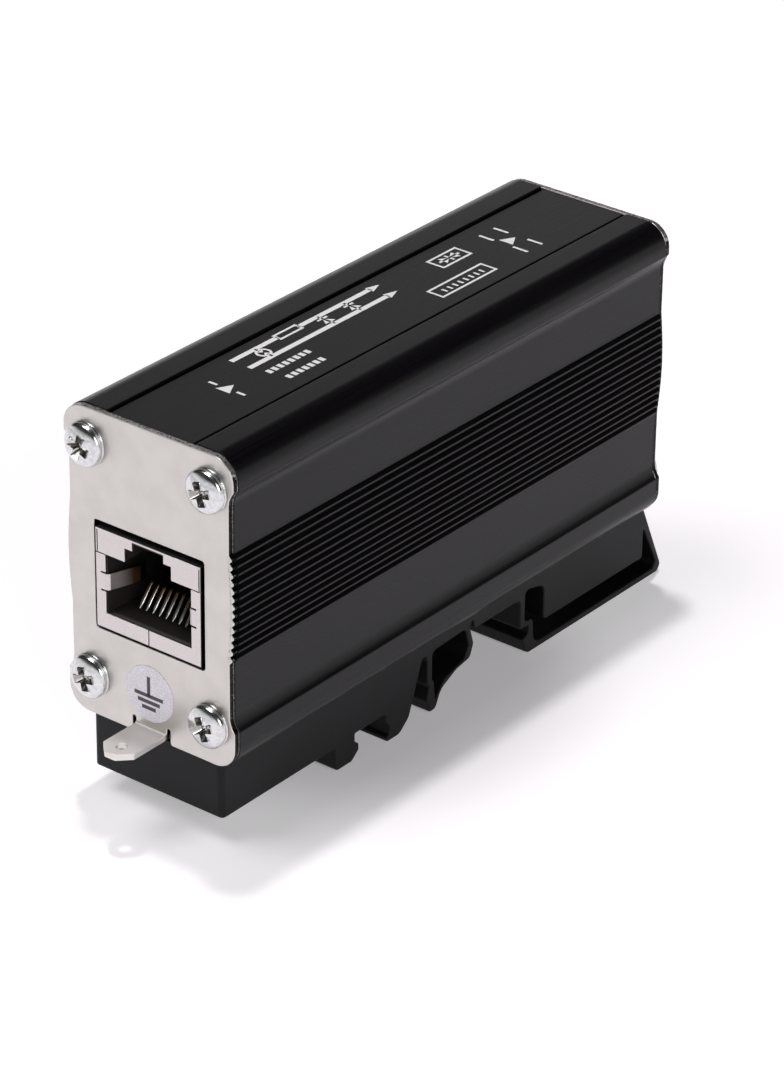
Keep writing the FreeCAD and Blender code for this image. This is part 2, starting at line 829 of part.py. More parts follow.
def spring_leg_hollow():
    """Hole through the spring leg that lets its wall flex."""
    front = spring_leg_front + spring_leg_wall
    back = spring_leg_back - spring_leg_wall
    notch = -slit_top - spring_leg_notch_top - spring_leg_notch_slope
    roof = -window_top + window_lip
    return [(front, roof, spring_hollow_round),
            (back - spring_leg_side_lean, spring_hollow_peak - window_top, spring_hollow_round),
            (back, -seat_drop + spring_leg_side_rise, spring_hollow_round),
            (back - spring_leg_corner, -seat_drop + spring_leg_wall, spring_hollow_round),
            (front + spring_leg_calf, -seat_drop, spring_leg_calf_round),
            (front + spring_leg_corner, spring_hollow_toe_rise - spring_leg_drop, 0),
            (front + spring_leg_notch, notch + spring_leg_notch, 0), (front, notch + 2 * spring_leg_notch, 0)]


def loop_hollow():
    """Slot behind the catch that turns the band below it into a spring."""
    wall = seat_back - catch_ledge + catch_wall
    low = -foot_drop + loop_band
    block_low = low + loop_gap
    catch_rear = seat_back + loop_band
    lean = tail_lean / foot_drop
    wedge_top = -loop_wedge_top
    wedge_back = tail_bottom - (wedge_top + foot_drop) * lean - tail_wall
    block_back = tail_top + loop_wedge_setback
    return [(wall, -loop_top, loop_shelf), (loop_block_front, -loop_top - loop_block_slope, loop_round),
            (loop_block_front, block_low, loop_shelf), (block_back, block_low, foot_edge),
            (block_back, wedge_top, 0),
            (wedge_back, wedge_top, 0), (tail_bottom - tail_wall, low, loop_band),
            (catch_rear + foot_edge, low, loop_round), (catch_rear, -seat_drop + loop_shelf, loop_shelf),
            (wall, -seat_drop + loop_shelf, loop_shelf)]


def make_foot():
    outer = hook_points() + stop_leg_points() + spring_leg_points() + catch_points() + tail_points()
    plan = [(-foot_half_width, foot_front, foot_front_round), (foot_half_width, foot_front, foot_front_round),
            (foot_half_width, tail_bottom, 0), (-foot_half_width, tail_bottom, 0)]
    body = prism_x(outer, -foot_half_width, foot_half_width).common(prism_z(plan, -foot_drop, 0))
    holes = [prism_x(points, -foot_half_width - 1, foot_half_width + 1)
             for points in (spring_leg_hollow(), loop_hollow())]
    neck = slot_half_width - slide_gap
    head = neck + slot_undercut
    front = housing_front + runner_end_gap
    back = housing_back - runner_end_gap
    lip = slot_lip + slide_gap
    runner = [box(-neck, neck, front, back, -1, lip),
              box(-head, head, front, back, lip, slot_lip + slot_room - slide_gap)]
    return fuse([body.cut(holes)] + runner)


def make_nodes():
    """Every piece by name, in modelling coordinates."""
    nodes = {
        "housing_extrusion": make_housing(),
        "front_end_plate": make_front_plate(),
        "rear_end_plate": make_rear_plate(),
        "front_plate_screws": make_screws(front_recess_turns),
        "rear_plate_screws": turned(make_screws(rear_recess_turns)),
        "earth_label": make_label(),
        "din_rail_foot": make_foot(),
        "circuit_board": make_board(),
        "insulating_film": make_film(),
        "earth_spring": make_earth_spring(),
    }
    shield = at_front(make_shield())
    insert = at_front(make_insert())
    nodes["line_in_shield"] = shield
    nodes["line_in_insert"] = insert
    nodes["line_out_shield"] = turned(shield)
    nodes["line_out_insert"] = turned(insert)
    for i in range(contact_count):
        contact = at_front(make_contact(i))
        nodes["line_in_contact_%d" % (i + 1)] = contact
        nodes["line_out_contact_%d" % (i + 1)] = turned(contact)
    for i in range(channel_count):
        nodes["gas_arrester_%d" % (i + 1)] = make_arrester(i)
        nodes["diode_array_%d" % (i + 1)] = make_diode_array(i)
    return nodes


def main():
    os.makedirs("parts", exist_ok=True)
    nodes = make_nodes()
    # The finished frame has its origin under the middle of the whole part, at the foot's underside.
    whole = Part.Compound(list(nodes.values())).optimalBoundingBox(False)
    shift = Vector(0, -(whole.YMin + whole.YMax) / 2, foot_drop)
    for name, shape in nodes.items():
        placed = shape.copy()
        placed.translate(shift)
        placed.exportStep("parts/%s.step" % name)
        box_now = placed.BoundBox
        print("%-22s solids %d  valid %s  volume %.1f  X %.2f..%.2f  Y %.2f..%.2f  Z %.2f..%.2f" % (
            name, len(placed.Solids), placed.isValid(), placed.Volume, box_now.XMin, box_now.XMax,
            box_now.YMin, box_now.YMax, box_now.ZMin, box_now.ZMax))


main()
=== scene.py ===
import bpy
import bmesh
import math
from mathutils import Matrix, Vector


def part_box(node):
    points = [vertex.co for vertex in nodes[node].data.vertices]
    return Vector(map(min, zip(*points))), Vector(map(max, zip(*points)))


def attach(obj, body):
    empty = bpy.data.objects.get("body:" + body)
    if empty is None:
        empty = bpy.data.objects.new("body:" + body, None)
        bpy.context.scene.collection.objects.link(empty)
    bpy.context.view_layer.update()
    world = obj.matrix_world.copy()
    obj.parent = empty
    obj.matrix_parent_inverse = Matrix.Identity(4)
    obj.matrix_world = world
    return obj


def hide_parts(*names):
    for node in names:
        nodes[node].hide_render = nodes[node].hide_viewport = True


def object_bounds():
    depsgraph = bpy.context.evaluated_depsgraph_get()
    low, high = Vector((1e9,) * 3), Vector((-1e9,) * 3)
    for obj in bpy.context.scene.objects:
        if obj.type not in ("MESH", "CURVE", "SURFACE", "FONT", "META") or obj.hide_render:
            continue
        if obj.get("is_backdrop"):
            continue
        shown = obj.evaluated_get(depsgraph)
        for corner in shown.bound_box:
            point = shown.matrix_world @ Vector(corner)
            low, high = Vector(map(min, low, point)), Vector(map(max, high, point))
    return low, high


# Ethernet surge protector in an extruded housing on a DIN rail foot.
# Sizes in the dictionaries are millimetres: X across, Y back from the front plate's outer face,
# Z up from the housing's underside. The frame itself is in metres.

print("loading the frame")
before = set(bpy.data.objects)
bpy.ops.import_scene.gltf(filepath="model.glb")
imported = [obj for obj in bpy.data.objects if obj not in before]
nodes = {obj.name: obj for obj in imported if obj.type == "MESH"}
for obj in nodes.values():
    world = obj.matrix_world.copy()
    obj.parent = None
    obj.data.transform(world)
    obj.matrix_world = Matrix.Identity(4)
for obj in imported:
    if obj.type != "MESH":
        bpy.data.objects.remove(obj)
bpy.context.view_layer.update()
scene = bpy.context.scene
mm = 0.001
sheetThickness = 0.8
plateEdge = 0.09
housingLow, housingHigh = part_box("housing_extrusion")
datumY = housingLow.y / mm - sheetThickness
datumZ = housingLow.z / mm
totalLength = (housingHigh.y - housingLow.y) / mm + 2 * sheetThickness
jack = {"half": 8.15, "bottom": 12.6, "fold": 0.12}


def place(x, y, z):
    return Vector((x * mm, (y + datumY) * mm, (z + datumZ) * mm))


def hexColor(text):
    channels = [int(text[i:i + 2], 16) / 255 for i in (1, 3, 5)]
    linear = [c / 12.92 if c <= 0.04045 else ((c + 0.055) / 1.055) ** 2.4 for c in channels]
    return (*linear, 1.0)


def addNode(tree, kind, inputs=None, **settings):
    node = tree.nodes.new(kind)
    for name, value in settings.items():
        setattr(node, name, value)
    for socket, value in (inputs or {}).items():
        if isinstance(value, bpy.types.NodeSocket):
            tree.links.new(value, node.inputs[socket])
        else:
            node.inputs[socket].default_value = value
    return node


print("materials")


def newMaterial(name):
    material = bpy.data.materials.new(name)
    material.use_nodes = True
    material.node_tree.nodes.clear()
    return material, material.node_tree


def grain(tree, sizes, detail=2.0):
    # Pattern of noise whose spots are sizes millimetres long in X, Y and Z.
    texture = addNode(tree, "ShaderNodeTexCoord")
    scale = tuple(1 / (size * mm) for size in sizes)
    mapped = addNode(tree, "ShaderNodeMapping", {0: texture.outputs["Object"], "Scale": scale})
    noise = addNode(tree, "ShaderNodeTexNoise", {"Vector": mapped.outputs[0], "Scale": 1.0, "Detail": detail})
    return noise.outputs[0]


def objectSpot(tree):
    # X, Y and Z of the shaded point.
    texture = addNode(tree, "ShaderNodeTexCoord")
    return addNode(tree, "ShaderNodeSeparateXYZ", {0: texture.outputs["Object"]}).outputs


def mottled(tree, pattern, low, high, first, second):
    # Pattern turned into a colour that runs from first to second between the levels low and high.
    share = addNode(tree, "ShaderNodeMapRange", {0: pattern, 1: low, 2: high})
    first = first if isinstance(first, bpy.types.NodeSocket) else hexColor(first)
    inputs = {0: share.outputs[0], 6: first, 7: hexColor(second)}
    return addNode(tree, "ShaderNodeMix", inputs, data_type="RGBA").outputs[2]


def cutEnds(tree, level):
    # One on faces square to the length, as left by the saw or the punch, and zero elsewhere.
    texture = addNode(tree, "ShaderNodeTexCoord")
    facing = addNode(tree, "ShaderNodeSeparateXYZ", {0: texture.outputs["Normal"]})
    steep = addNode(tree, "ShaderNodeMath", {0: facing.outputs[1]}, operation="ABSOLUTE")
    square = addNode(tree, "ShaderNodeMath", {0: steep.outputs[0], 1: level}, operation="GREATER_THAN")
    return square.outputs[0]


def finishOf(material, base, rough, pattern, depth, **sockets):
    # Closes a material: its roughness runs between two values and its relief is depth millimetres deep.
    tree = material.node_tree
    roughness = addNode(tree, "ShaderNodeMapRange", {0: pattern, 1: 0.3, 2: 0.7, 3: rough[0], 4: rough[1]})
    bump = addNode(tree, "ShaderNodeBump", {"Height": pattern, "Distance": depth * mm})
    names = {"metal": "Metallic", "level": "Specular IOR Level"}
    inputs = {"Base Color": base, "Roughness": roughness.outputs[0], "Normal": bump.outputs[0]}
    inputs.update({names[key]: value for key, value in sockets.items()})
    shader = addNode(tree, "ShaderNodeBsdfPrincipled", inputs)
    addNode(tree, "ShaderNodeOutputMaterial", {"Surface": shader.outputs[0]})
    return material


def anodisedAluminium(beltMiddle, beltHalf):
    # Extruded aluminium, drawn lengthwise through the die, etched and dyed black in the anodising bath:
    # a deep warm satin with faint lines along the length, drawn coarser than real ones to show. Sawn ends are
    # bare bright metal, but across the belt of ribs they keep the dyed black as painted shade.
    material, tree = newMaterial("black_anodised_aluminium")
    dieLines = grain(tree, (0.14, 26, 0.14), 3.0)
    saw = grain(tree, (0.12, 0.3, 0.12), 3.0)
    dyed = mottled(tree, dieLines, 0.3, 0.7, "#050406", "#0b080b")
    bare = mottled(tree, saw, 0.42, 0.6, "#7d7977", "#efecea")
    spot = objectSpot(tree)
    # Across the belt of ribs the sawn ends stay dyed black: painted shade behind the end plate's teeth.
    rise = addNode(tree, "ShaderNodeMath", {0: spot[2], 1: beltMiddle * mm}, operation="SUBTRACT")
    far = addNode(tree, "ShaderNodeMath", {0: rise.outputs[0]}, operation="ABSOLUTE")
    plain = addNode(tree, "ShaderNodeMath", {0: far.outputs[0], 1: beltHalf * mm}, operation="GREATER_THAN")
    ends = cutEnds(tree, 0.8)
    sawn = addNode(tree, "ShaderNodeMath", {0: ends, 1: plain.outputs[0]}, operation="MULTIPLY").outputs[0]
    colour = addNode(tree, "ShaderNodeMix", {0: sawn, 6: dyed, 7: bare}, data_type="RGBA").outputs[2]
    return finishOf(material, colour, (0.26, 0.34), dieLines, 0.0012, metal=sawn, level=0.2)


def nickelPlatedSheet():
    # Punched steel sheet with a satin nickel plate: pale, slightly warm and finely sanded. Its sheared edges
    # are torn, with bright specks where the nickel took hold; they are dark with painted shade on the sides
    # and greyer with painted light on top. The tab is paler with painted light, and half metallic, so it
    # scatters more.
    material, tree = newMaterial("nickel_plated_steel_sheet")
    sand = grain(tree, (0.14, 0.14, 0.14))
    cloud = grain(tree, (3.0, 3.0, 3.0))
    tear = grain(tree, (0.2, 0.35, 0.2), 3.0)
    spot = objectSpot(tree)
    topEdge, front, bendRoom = housingHigh.z - 2.2 * mm, datumY * mm, 0.3 * mm
    roof = addNode(tree, "ShaderNodeMath", {0: spot[2], 1: topEdge}, operation="GREATER_THAN").outputs[0]
    rim = front + plateEdge * mm
    behind = addNode(tree, "ShaderNodeMath", {0: spot[1], 1: rim}, operation="GREATER_THAN").outputs[0]
    # Sheared edges: painted shade makes the sides dark, painted light makes the tops greyer.
    side = mottled(tree, tear, 0.66, 0.7, "#0d0b0b", "#a9a4a2")
    top = mottled(tree, tear, 0.4, 0.5, "#4a4544", "#bdb8b6")
    shearedEdgeLightAndShade = addNode(tree, "ShaderNodeMix", {0: roof, 6: side, 7: top}, data_type="RGBA").outputs[2]
    inputs = {0: behind, 1: cutEnds(tree, 0.5)}
    edge = addNode(tree, "ShaderNodeMath", inputs, operation="SUBTRACT", use_clamp=True).outputs[0]
    bent = addNode(tree, "ShaderNodeMapRange", {0: spot[1], 1: front, 2: front - bendRoom}).outputs[0]
    # Past the bend the tab is painted paler, as painted light.
    face = mottled(tree, bent, 0.0, 1.0, mottled(tree, cloud, 0.35, 0.65, "#c8c5c1", "#cecbc7"), "#e9e4e1")
    colour = addNode(tree, "ShaderNodeMix", {0: edge, 6: face, 7: shearedEdgeLightAndShade}, data_type="RGBA").outputs[2]
    tab = addNode(tree, "ShaderNodeMapRange", {0: bent, 3: 1.0, 4: 0.5}).outputs[0]
    return finishOf(material, colour, (0.36, 0.46), sand, 0.004, metal=tab)


def tinnedBrass():
    # Folded brass sheet, tin plated: like the end plate but smoother. Its cut edges and the walls by its
    # folds carry painted shade, and further into the socket it turns a darker brown.
    material, tree = newMaterial("tinned_brass_sheet")
    sand = grain(tree, (0.2, 0.2, 0.2))
    spot = objectSpot(tree)
    inward = addNode(tree, "ShaderNodeMath", {0: spot[1]}, operation="ABSOLUTE").outputs[0]
    reach = totalLength / 2 * mm
    tin = mottled(tree, sand, 0.35, 0.65, "#c8c2c1", "#d1cccb")
    # Further into the socket the colour runs to a darker brown.
    browningInward = mottled(tree, inward, reach - 2.2 * mm, reach - 4.4 * mm, tin, "#5d4b3c")
    # Cut edges at the front, the walls by the folds and the sill below: painted shade of the seams round the
    # socket.
    front = addNode(tree, "ShaderNodeMath", {0: inward, 1: reach - 0.06 * mm}, operation="GREATER_THAN")
    inputs = {0: front.outputs[0], 1: cutEnds(tree, 0.5)}
    edge = addNode(tree, "ShaderNodeMath", inputs, operation="SUBTRACT", use_clamp=True).outputs[0]
    aside = addNode(tree, "ShaderNodeMath", {0: spot[0]}, operation="ABSOLUTE")
    foldX, foldZ = (jack["half"] - jack["fold"]) * mm, (jack["bottom"] + jack["fold"] + datumZ) * mm
    fold = addNode(tree, "ShaderNodeMath", {0: aside.outputs[0], 1: foldX}, operation="GREATER_THAN")
    sill = addNode(tree, "ShaderNodeMath", {0: spot[2], 1: foldZ}, operation="LESS_THAN")
    border = addNode(tree, "ShaderNodeMath", {0: fold.outputs[0], 1: sill.outputs[0]}, operation="MAXIMUM")
    seamShadeMask = addNode(tree, "ShaderNodeMath", {0: border.outputs[0], 1: edge}, operation="MAXIMUM").outputs[0]
    seamShade = hexColor("#2a2524")
    colour = addNode(tree, "ShaderNodeMix", {0: seamShadeMask, 6: browningInward, 7: seamShade}, data_type="RGBA").outputs[2]
    return finishOf(material, colour, (0.3, 0.4), sand, 0.002, metal=1.0)


def brightZinc():
    # Cold headed steel screw, zinc plated with a clear bluish passivation: bright, with small handling marks;
    # its recess is painted darker, as shade.
    material, tree = newMaterial("bright_zinc_plated_steel")
    marks = grain(tree, (0.5, 0.5, 0.5), 4.0)
    depth = addNode(tree, "ShaderNodeAttribute", attribute_name="recess").outputs["Fac"]
    plated = mottled(tree, marks, 0.4, 0.7, "#d9dadb", "#c6c7c8")
    recessShade = hexColor("#a5a2a0")
    # Painted shade in the recess, as strong as its recess weight.
    colour = addNode(tree, "ShaderNodeMix", {0: depth, 6: plated, 7: recessShade}, data_type="RGBA").outputs[2]
    return finishOf(material, colour, (0.14, 0.22), marks, 0.002, metal=1.0)


def labelFoil():
    # Printed polyester foil, metallised lavender grey with a sparkling grain.
    material, tree = newMaterial("grained_label_foil")
    sparkle = grain(tree, (0.1, 0.1, 0.1), 1.0)
    foil = mottled(tree, sparkle, 0.38, 0.62, "#d2ced5", "#f2eff6")
    return finishOf(material, foil, (0.45, 0.55), sparkle, 0.004, metal=0.2)


def printingInk(name, colour, thinner):
    # Pad printed two-part ink: opaque and matt, a little thinner in spots.
    material, tree = newMaterial(name)
    thin = grain(tree, (0.25, 0.25, 0.25), 3.0)
    ink = mottled(tree, thin, 0.62, 0.8, colour, thinner)
    return finishOf(material, ink, (0.5, 0.6), thin, 0.003)


def glassFilledNylon():
    # Injection moulded polyamide in a spark eroded tool: matt charcoal with a fine even grain.
    material, tree = newMaterial("glass_filled_nylon")
    pits = grain(tree, (0.09, 0.09, 0.09))
    flow = grain(tree, (6, 9, 4))
    charcoal = mottled(tree, flow, 0.35, 0.65, "#0a090b", "#0f0d10")
    return finishOf(material, charcoal, (0.46, 0.58), pits, 0.01, level=0.22)


def socketPolyester():
    # Moulded black polyester of the socket's insert: smoother than the foot, with a slight sheen.
    material, tree = newMaterial("moulded_black_polyester")
    pits = grain(tree, (0.12, 0.12, 0.12))
    black = mottled(tree, pits, 0.35, 0.65, "#231e1d", "#2b2624")
    return finishOf(material, black, (0.4, 0.52), pits, 0.004)


def goldFlashedBronze(tipHeight, goldHeight):
    # Drawn phosphor bronze wire, nickel plated, with gold on the bend where the plug's contacts rub:
    # silvery at the point, brownish gold higher up.
    material, tree = newMaterial("gold_flashed_bronze")
    spot = objectSpot(tree)
    draw = grain(tree, (0.06, 1.5, 1.5))
    low, high = (tipHeight + datumZ) * mm, (goldHeight + datumZ) * mm
    flashed = mottled(tree, spot[2], low, high, "#b9b6b3", "#86705a")
    return finishOf(material, flashed, (0.22, 0.38), draw, 0.004, metal=1.0)


def solderMask():
    # Glass epoxy board under teal green solder mask, with the tracks showing as faint ridges.
    material, tree = newMaterial("teal_solder_mask")
    tracks = grain(tree, (1.2, 6, 1.2), 1.0)
    green = mottled(tree, tracks, 0.48, 0.52, "#1d4f49", "#26665c")
    return finishOf(material, green, (0.25, 0.35), tracks, 0.03)


def polyesterFilm():
    # Milky polyester insulating film, calendered.
    material, tree = newMaterial("milky_polyester_film")
    haze = grain(tree, (2, 2, 2), 3.0)
    milky = mottled(tree, haze, 0.3, 0.7, "#cfd2cb", "#e1e3dc")
    return finishOf(material, milky, (0.3, 0.4), haze, 0.01)


def rolledSpringSteel():
    # Cold rolled stainless spring strip with its rolling lines.
    material, tree = newMaterial("rolled_spring_steel")
    lines = grain(tree, (4, 0.1, 0.1))
    bright = mottled(tree, lines, 0.3, 0.7, "#a7a5a2", "#bdbbb8")
    return finishOf(material, bright, (0.25, 0.38), lines, 0.002, metal=1.0)


def ceramicArrester(pitch, first, flange, length):
    # Glazed alumina cylinders brazed between nickel plated electrodes: white with three metal bands.
    material, tree = newMaterial("alumina_and_nickel")
    spot = objectSpot(tree)
    glaze = grain(tree, (0.8, 0.8, 0.8))
    start, nickel = (first - length / 2) * mm, hexColor("#c9c6c0")
    along = addNode(tree, "ShaderNodeMath", {0: spot[0], 1: start}, operation="SUBTRACT").outputs[0]
    within = addNode(tree, "ShaderNodeMath", {0: along, 1: pitch * mm}, operation="FLOORED_MODULO").outputs[0]
    band = addNode(tree, "ShaderNodeMath", {0: within, 1: flange * mm}, operation="LESS_THAN").outputs[0]
    white = mottled(tree, glaze, 0.3, 0.7, "#e9e6e0", "#f2f0ea")
    colour = addNode(tree, "ShaderNodeMix", {0: band, 6: white, 7: nickel}, data_type="RGBA").outputs[2]
    return finishOf(material, colour, (0.25, 0.4), glaze, 0.01, metal=band)


def epoxyPackage(centre, halfWidth):
    # Transfer moulded black epoxy with tinned leads.
    material, tree = newMaterial("moulded_epoxy_package")
    spot = objectSpot(tree)
    pits = grain(tree, (0.08, 0.08, 0.08))
    away = addNode(tree, "ShaderNodeMath", {0: spot[0], 1: centre * mm}, operation="SUBTRACT").outputs[0]
    far = addNode(tree, "ShaderNodeMath", {0: away}, operation="ABSOLUTE").outputs[0]
    lead = addNode(tree, "ShaderNodeMath", {0: far, 1: halfWidth * mm}, operation="GREATER_THAN").outputs[0]
    black, tin = mottled(tree, pits, 0.3, 0.7, "#1e1e20", "#28282a"), hexColor("#c6c4c0")
    colour = addNode(tree, "ShaderNodeMix", {0: lead, 6: black, 7: tin}, data_type="RGBA").outputs[2]
    return finishOf(material, colour, (0.4, 0.6), pits, 0.006, metal=lead)


plateFinish = nickelPlatedSheet()
shieldFinish = tinnedBrass()
screwFinish = brightZinc()
labelFinish = labelFoil()
whiteInk = printingInk("white_pad_print", "#e8e6e6", "#c4c2c2")
greyInk = printingInk("dark_grey_pad_print", "#454349", "#3a383e")
footFinish = glassFilledNylon()
insertFinish = socketPolyester()


print("mesh helpers")


def roundCorners(corners, step=7.0, closed=True):
    # Path through corners (u, v, radius), each corner rounded in steps of that many degrees.
    path = []
    count = len(corners)
    for i, (u, v, radius) in enumerate(corners):
        here = Vector((u, v))
        if radius < 1e-6 or (not closed and i in (0, count - 1)):
            path.append(here)
            continue
        before = (Vector(corners[i - 1][:2]) - here).normalized()
        after = (Vector(corners[(i + 1) % count][:2]) - here).normalized()
        opening = before.angle(after)
        if opening > math.radians(179.5):
            path.append(here)
            continue
        start = here + before * (radius / math.tan(opening / 2))
        centre = here + (before + after).normalized() * (radius / math.sin(opening / 2))
        turn = math.pi - opening
        sense = 1 if before.x * after.y - before.y * after.x < 0 else -1
        steps = max(1, math.ceil(math.degrees(turn) / step))
        arm = start - centre
        for k in range(steps + 1):
            angle = sense * turn * k / steps
            path.append(centre + Vector((arm.x * math.cos(angle) - arm.y * math.sin(angle),
                                         arm.x * math.sin(angle) + arm.y * math.cos(angle))))
    return path


def mitre(into, out):
    # The unit normal between two directions of a path, and how far it leans along the first one's own normal.
    left = Vector((-into.y, into.x))
    normal = (left + Vector((-out.y, out.x))).normalized()
    return normal, normal.dot(left)


def loft(bm, rings, endless=False):
    # Skin over rings of equally many points; returns the rings' vertices. An endless one ends where it began.
    rows = [[bm.verts.new(point) for point in ring] for ring in rings]
    count = len(rows[0])
    for lower, upper in zip(rows, rows[1:] + rows[:1] if endless else rows[1:]):
        for i in range(count):
            j = (i + 1) % count
            bm.faces.new((lower[i], lower[j], upper[j], upper[i]))
    return rows


def solidLoft(bm, rings):
    rows = loft(bm, rings)
    bm.faces.new(rows[0])
    bm.faces.new(rows[-1])


def closeWithPole(bm, row, point):
    pole = bm.verts.new(point)
    for i in range(len(row)):
        bm.faces.new((row[i], row[(i + 1) % len(row)], pole))


def linkedObject(name, data):
    thing = bpy.data.objects.new(name, data)
    scene.collection.objects.link(thing)
    return thing


def shade(mesh, sharpAngle):
    for polygon in mesh.polygons:
        polygon.use_smooth = True
    mesh.set_sharp_from_angle(angle=math.radians(sharpAngle))


def plainMesh(bm, name):
    mesh = bpy.data.meshes.new(name)
    bm.to_mesh(mesh)
    bm.free()
    return mesh


def meshFrom(bm, name, sharpAngle=None):
    bmesh.ops.recalc_face_normals(bm, faces=bm.faces)
    mesh = plainMesh(bm, name)
    if sharpAngle:
        shade(mesh, sharpAngle)
    return mesh


def bakeModifiers(holder):
    mesh = bpy.data.meshes.new_from_object(holder.evaluated_get(bpy.context.evaluated_depsgraph_get()))
    bpy.data.objects.remove(holder)
    return mesh


def grow(tree, values):
    # Runs a geometry tree with these input values and returns its result as a plain mesh.
    holder = linkedObject("grown", bpy.data.meshes.new("grown"))
    modifier = holder.modifiers.new("grow", "NODES")
    modifier.node_group = tree
    for item in tree.interface.items_tree:
        if item.item_type == "SOCKET" and item.in_out == "INPUT":
            modifier[item.identifier] = values[item.name]
    return bakeModifiers(holder)


def geometryTree(name, inputs):
    tree = bpy.data.node_groups.new(name, "GeometryNodeTree")
    tree.interface.new_socket(name="Geometry", in_out="OUTPUT", socket_type="NodeSocketGeometry")
    for label, kind in inputs.items():
        tree.interface.new_socket(name=label, in_out="INPUT", socket_type="NodeSocket" + kind)
    return tree, tree.nodes.new("NodeGroupInput").outputs


def closeTree(tree, geometry, material):
    real = addNode(tree, "GeometryNodeRealizeInstances", {0: geometry})
    painted = addNode(tree, "GeometryNodeSetMaterial", {"Geometry": real.outputs[0], "Material": material})
    addNode(tree, "NodeGroupOutput", {0: painted.outputs[0]})
    return tree


def addPiece(name, mesh, material, stands=()):
    mesh.materials.clear()
    mesh.materials.append(material)
    piece = linkedObject(name, mesh)
    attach(piece, "root")
    if stands:
        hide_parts(*stands)
    return piece


def edgedCopy(source, edge):
    # The solid's mesh with its edges broken, as a plain mesh.
    bm = bmesh.new()
    bm.from_mesh(nodes[source].data)
    bmesh.ops.remove_doubles(bm, verts=bm.verts, dist=0.002 * mm)
    bmesh.ops.dissolve_limit(bm, angle_limit=math.radians(0.5), verts=bm.verts, edges=bm.edges)
    mesh = plainMesh(bm, source + "_edged")
    holder = linkedObject(source + "_edged", mesh)
    bevel = holder.modifiers.new("edge", "BEVEL")
    bevel.width = edge * mm
    bevel.segments = 2
    bevel.limit_method = "ANGLE"
    bevel.angle_limit = math.radians(35)
    bevel.use_clamp_overlap = False
    bevel.miter_outer = "MITER_ARC"
    holder.modifiers.new("normals", "WEIGHTED_NORMAL").keep_sharp = True
    shade(mesh, 50)
    return bakeModifiers(holder)


print("housing")
housing = {"length": 83.6, "height": 41.0, "shoulderHalf": 13.05, "waistHalf": 12.3, "corner": 3.3,
           "lowerShoulder": 5.3, "upperShoulder": 4.1, "slope": 0.97, "sweep": 3.0, "tipRound": 0.4,
           "lowerWaist": 8.21, "sideWall": 1.6, "roof": 2.0, "floor": 4.4, "labelHalf": 6.25,
           "labelRecess": 0.2, "groove": 0.5, "grooveDepth": 0.6, "grooveRound": 0.12, "slotHalf": 3.4,
           "slotLip": 1.2, "slotUndercut": 1.6, "slotRoom": 1.8, "slotRound": 0.15, "endChamfer": 0.12}
ribs = {"count": 14, "pitch": 1.015, "height": 0.4, "flat": 0.22, "bulge": 0.45, "crestRound": 0.07,
        "seat": 0.3, "length": housing["length"], "chamfer": housing["endChamfer"],
        "wall": housing["waistHalf"]}
screws = {"x": 9.25, "lowZ": 5.4, "highZ": 36.25, "bossRadius": 2.9, "channelRadius": 1.55, "web": 1.5}
board = {"top": 12.6, "thickness": 1.6, "gap": 0.1, "railHeight": 1.1, "railReach": 1.45}
bellyBottom = housing["lowerShoulder"] + housing["slope"] + housing["lowerWaist"]
beltHalf = ribs["count"] * ribs["pitch"] / 2


def mirrored(right):
    return right + [(-x, z, r) for x, z, r in reversed(right)]


def housingOutline():
    waist, shoulder, tip = housing["waistHalf"], housing["shoulderHalf"], housing["tipRound"]
    slot, lip, soft = housing["slotHalf"], housing["slotLip"], housing["slotRound"]
    wide = slot + housing["slotUndercut"]
    right = [(wide, lip + housing["slotRoom"], soft), (wide, lip, soft), (slot, lip, soft), (slot, 0, soft),
             (shoulder, 0, housing["corner"]),
             (shoulder, housing["lowerShoulder"], tip),
             (waist, housing["lowerShoulder"] + housing["slope"], housing["sweep"])]
    for i in range(ribs["count"] + 1):
        swell = ribs["bulge"] * math.sin(math.pi * i / ribs["count"])
        right.append((waist + swell, bellyBottom + i * ribs["pitch"], 0))
    upper = housing["height"] - housing["upperShoulder"]
    top, bottom = housing["height"], housing["height"] - housing["grooveDepth"]
    inner, crest = housing["labelHalf"], housing["grooveRound"]
    outer = inner + housing["groove"]
    right += [(waist, upper - housing["slope"], housing["sweep"]), (shoulder, upper, tip),
              (shoulder, top, housing["corner"]), (outer, top, crest), (outer, bottom, 0.1),
              (inner, bottom, 0.1), (inner, top - housing["labelRecess"], crest)]
    return roundCorners(mirrored(right), 6.0)


def housingHollow():
    # Inner outline: screw bosses in the corners with their webs, and the rails that hold the board.
    inner = housing["waistHalf"] - housing["sideWall"]
    roof = housing["height"] - housing["roof"]
    railX = inner - board["railReach"]
    reach, radius = inner - screws["x"], screws["bossRadius"]
    drop = math.sqrt(radius ** 2 - reach ** 2)
    rise = math.sqrt(radius ** 2 - screws["web"] ** 2)
    start = math.atan2(drop, reach)
    end = math.pi + math.atan2(rise, screws["web"])
    # from the wall round the boss's inner side to the web
    arc = []
    steps = 12
    for k in range(steps + 1):
        angle = start + (end - start) * k / steps
        arc.append((screws["x"] + radius * math.cos(angle), radius * math.sin(angle)))
    right = [(screws["x"] - screws["web"], housing["floor"], 0)]
    right += [(x, screws["lowZ"] + z, 0) for x, z in reversed(arc)]
    bottom = board["top"] - board["thickness"] - board["gap"]
    for z in (bottom - board["railHeight"], board["top"] + board["gap"]):
        above = z + board["railHeight"]
        right += [(inner, z, 0), (railX, z, 0), (railX, above, 0), (inner, above, 0)]
    right += [(x, screws["highZ"] - z, 0) for x, z in arc]
    right.append((screws["x"] - screws["web"], roof, 0))
    return roundCorners(mirrored(right))


def circle(x, z, radius, count=32):
    angles = [2 * math.pi * k / count for k in range(count)]
    return [Vector((x + radius * math.cos(a), z + radius * math.sin(a))) for a in angles]


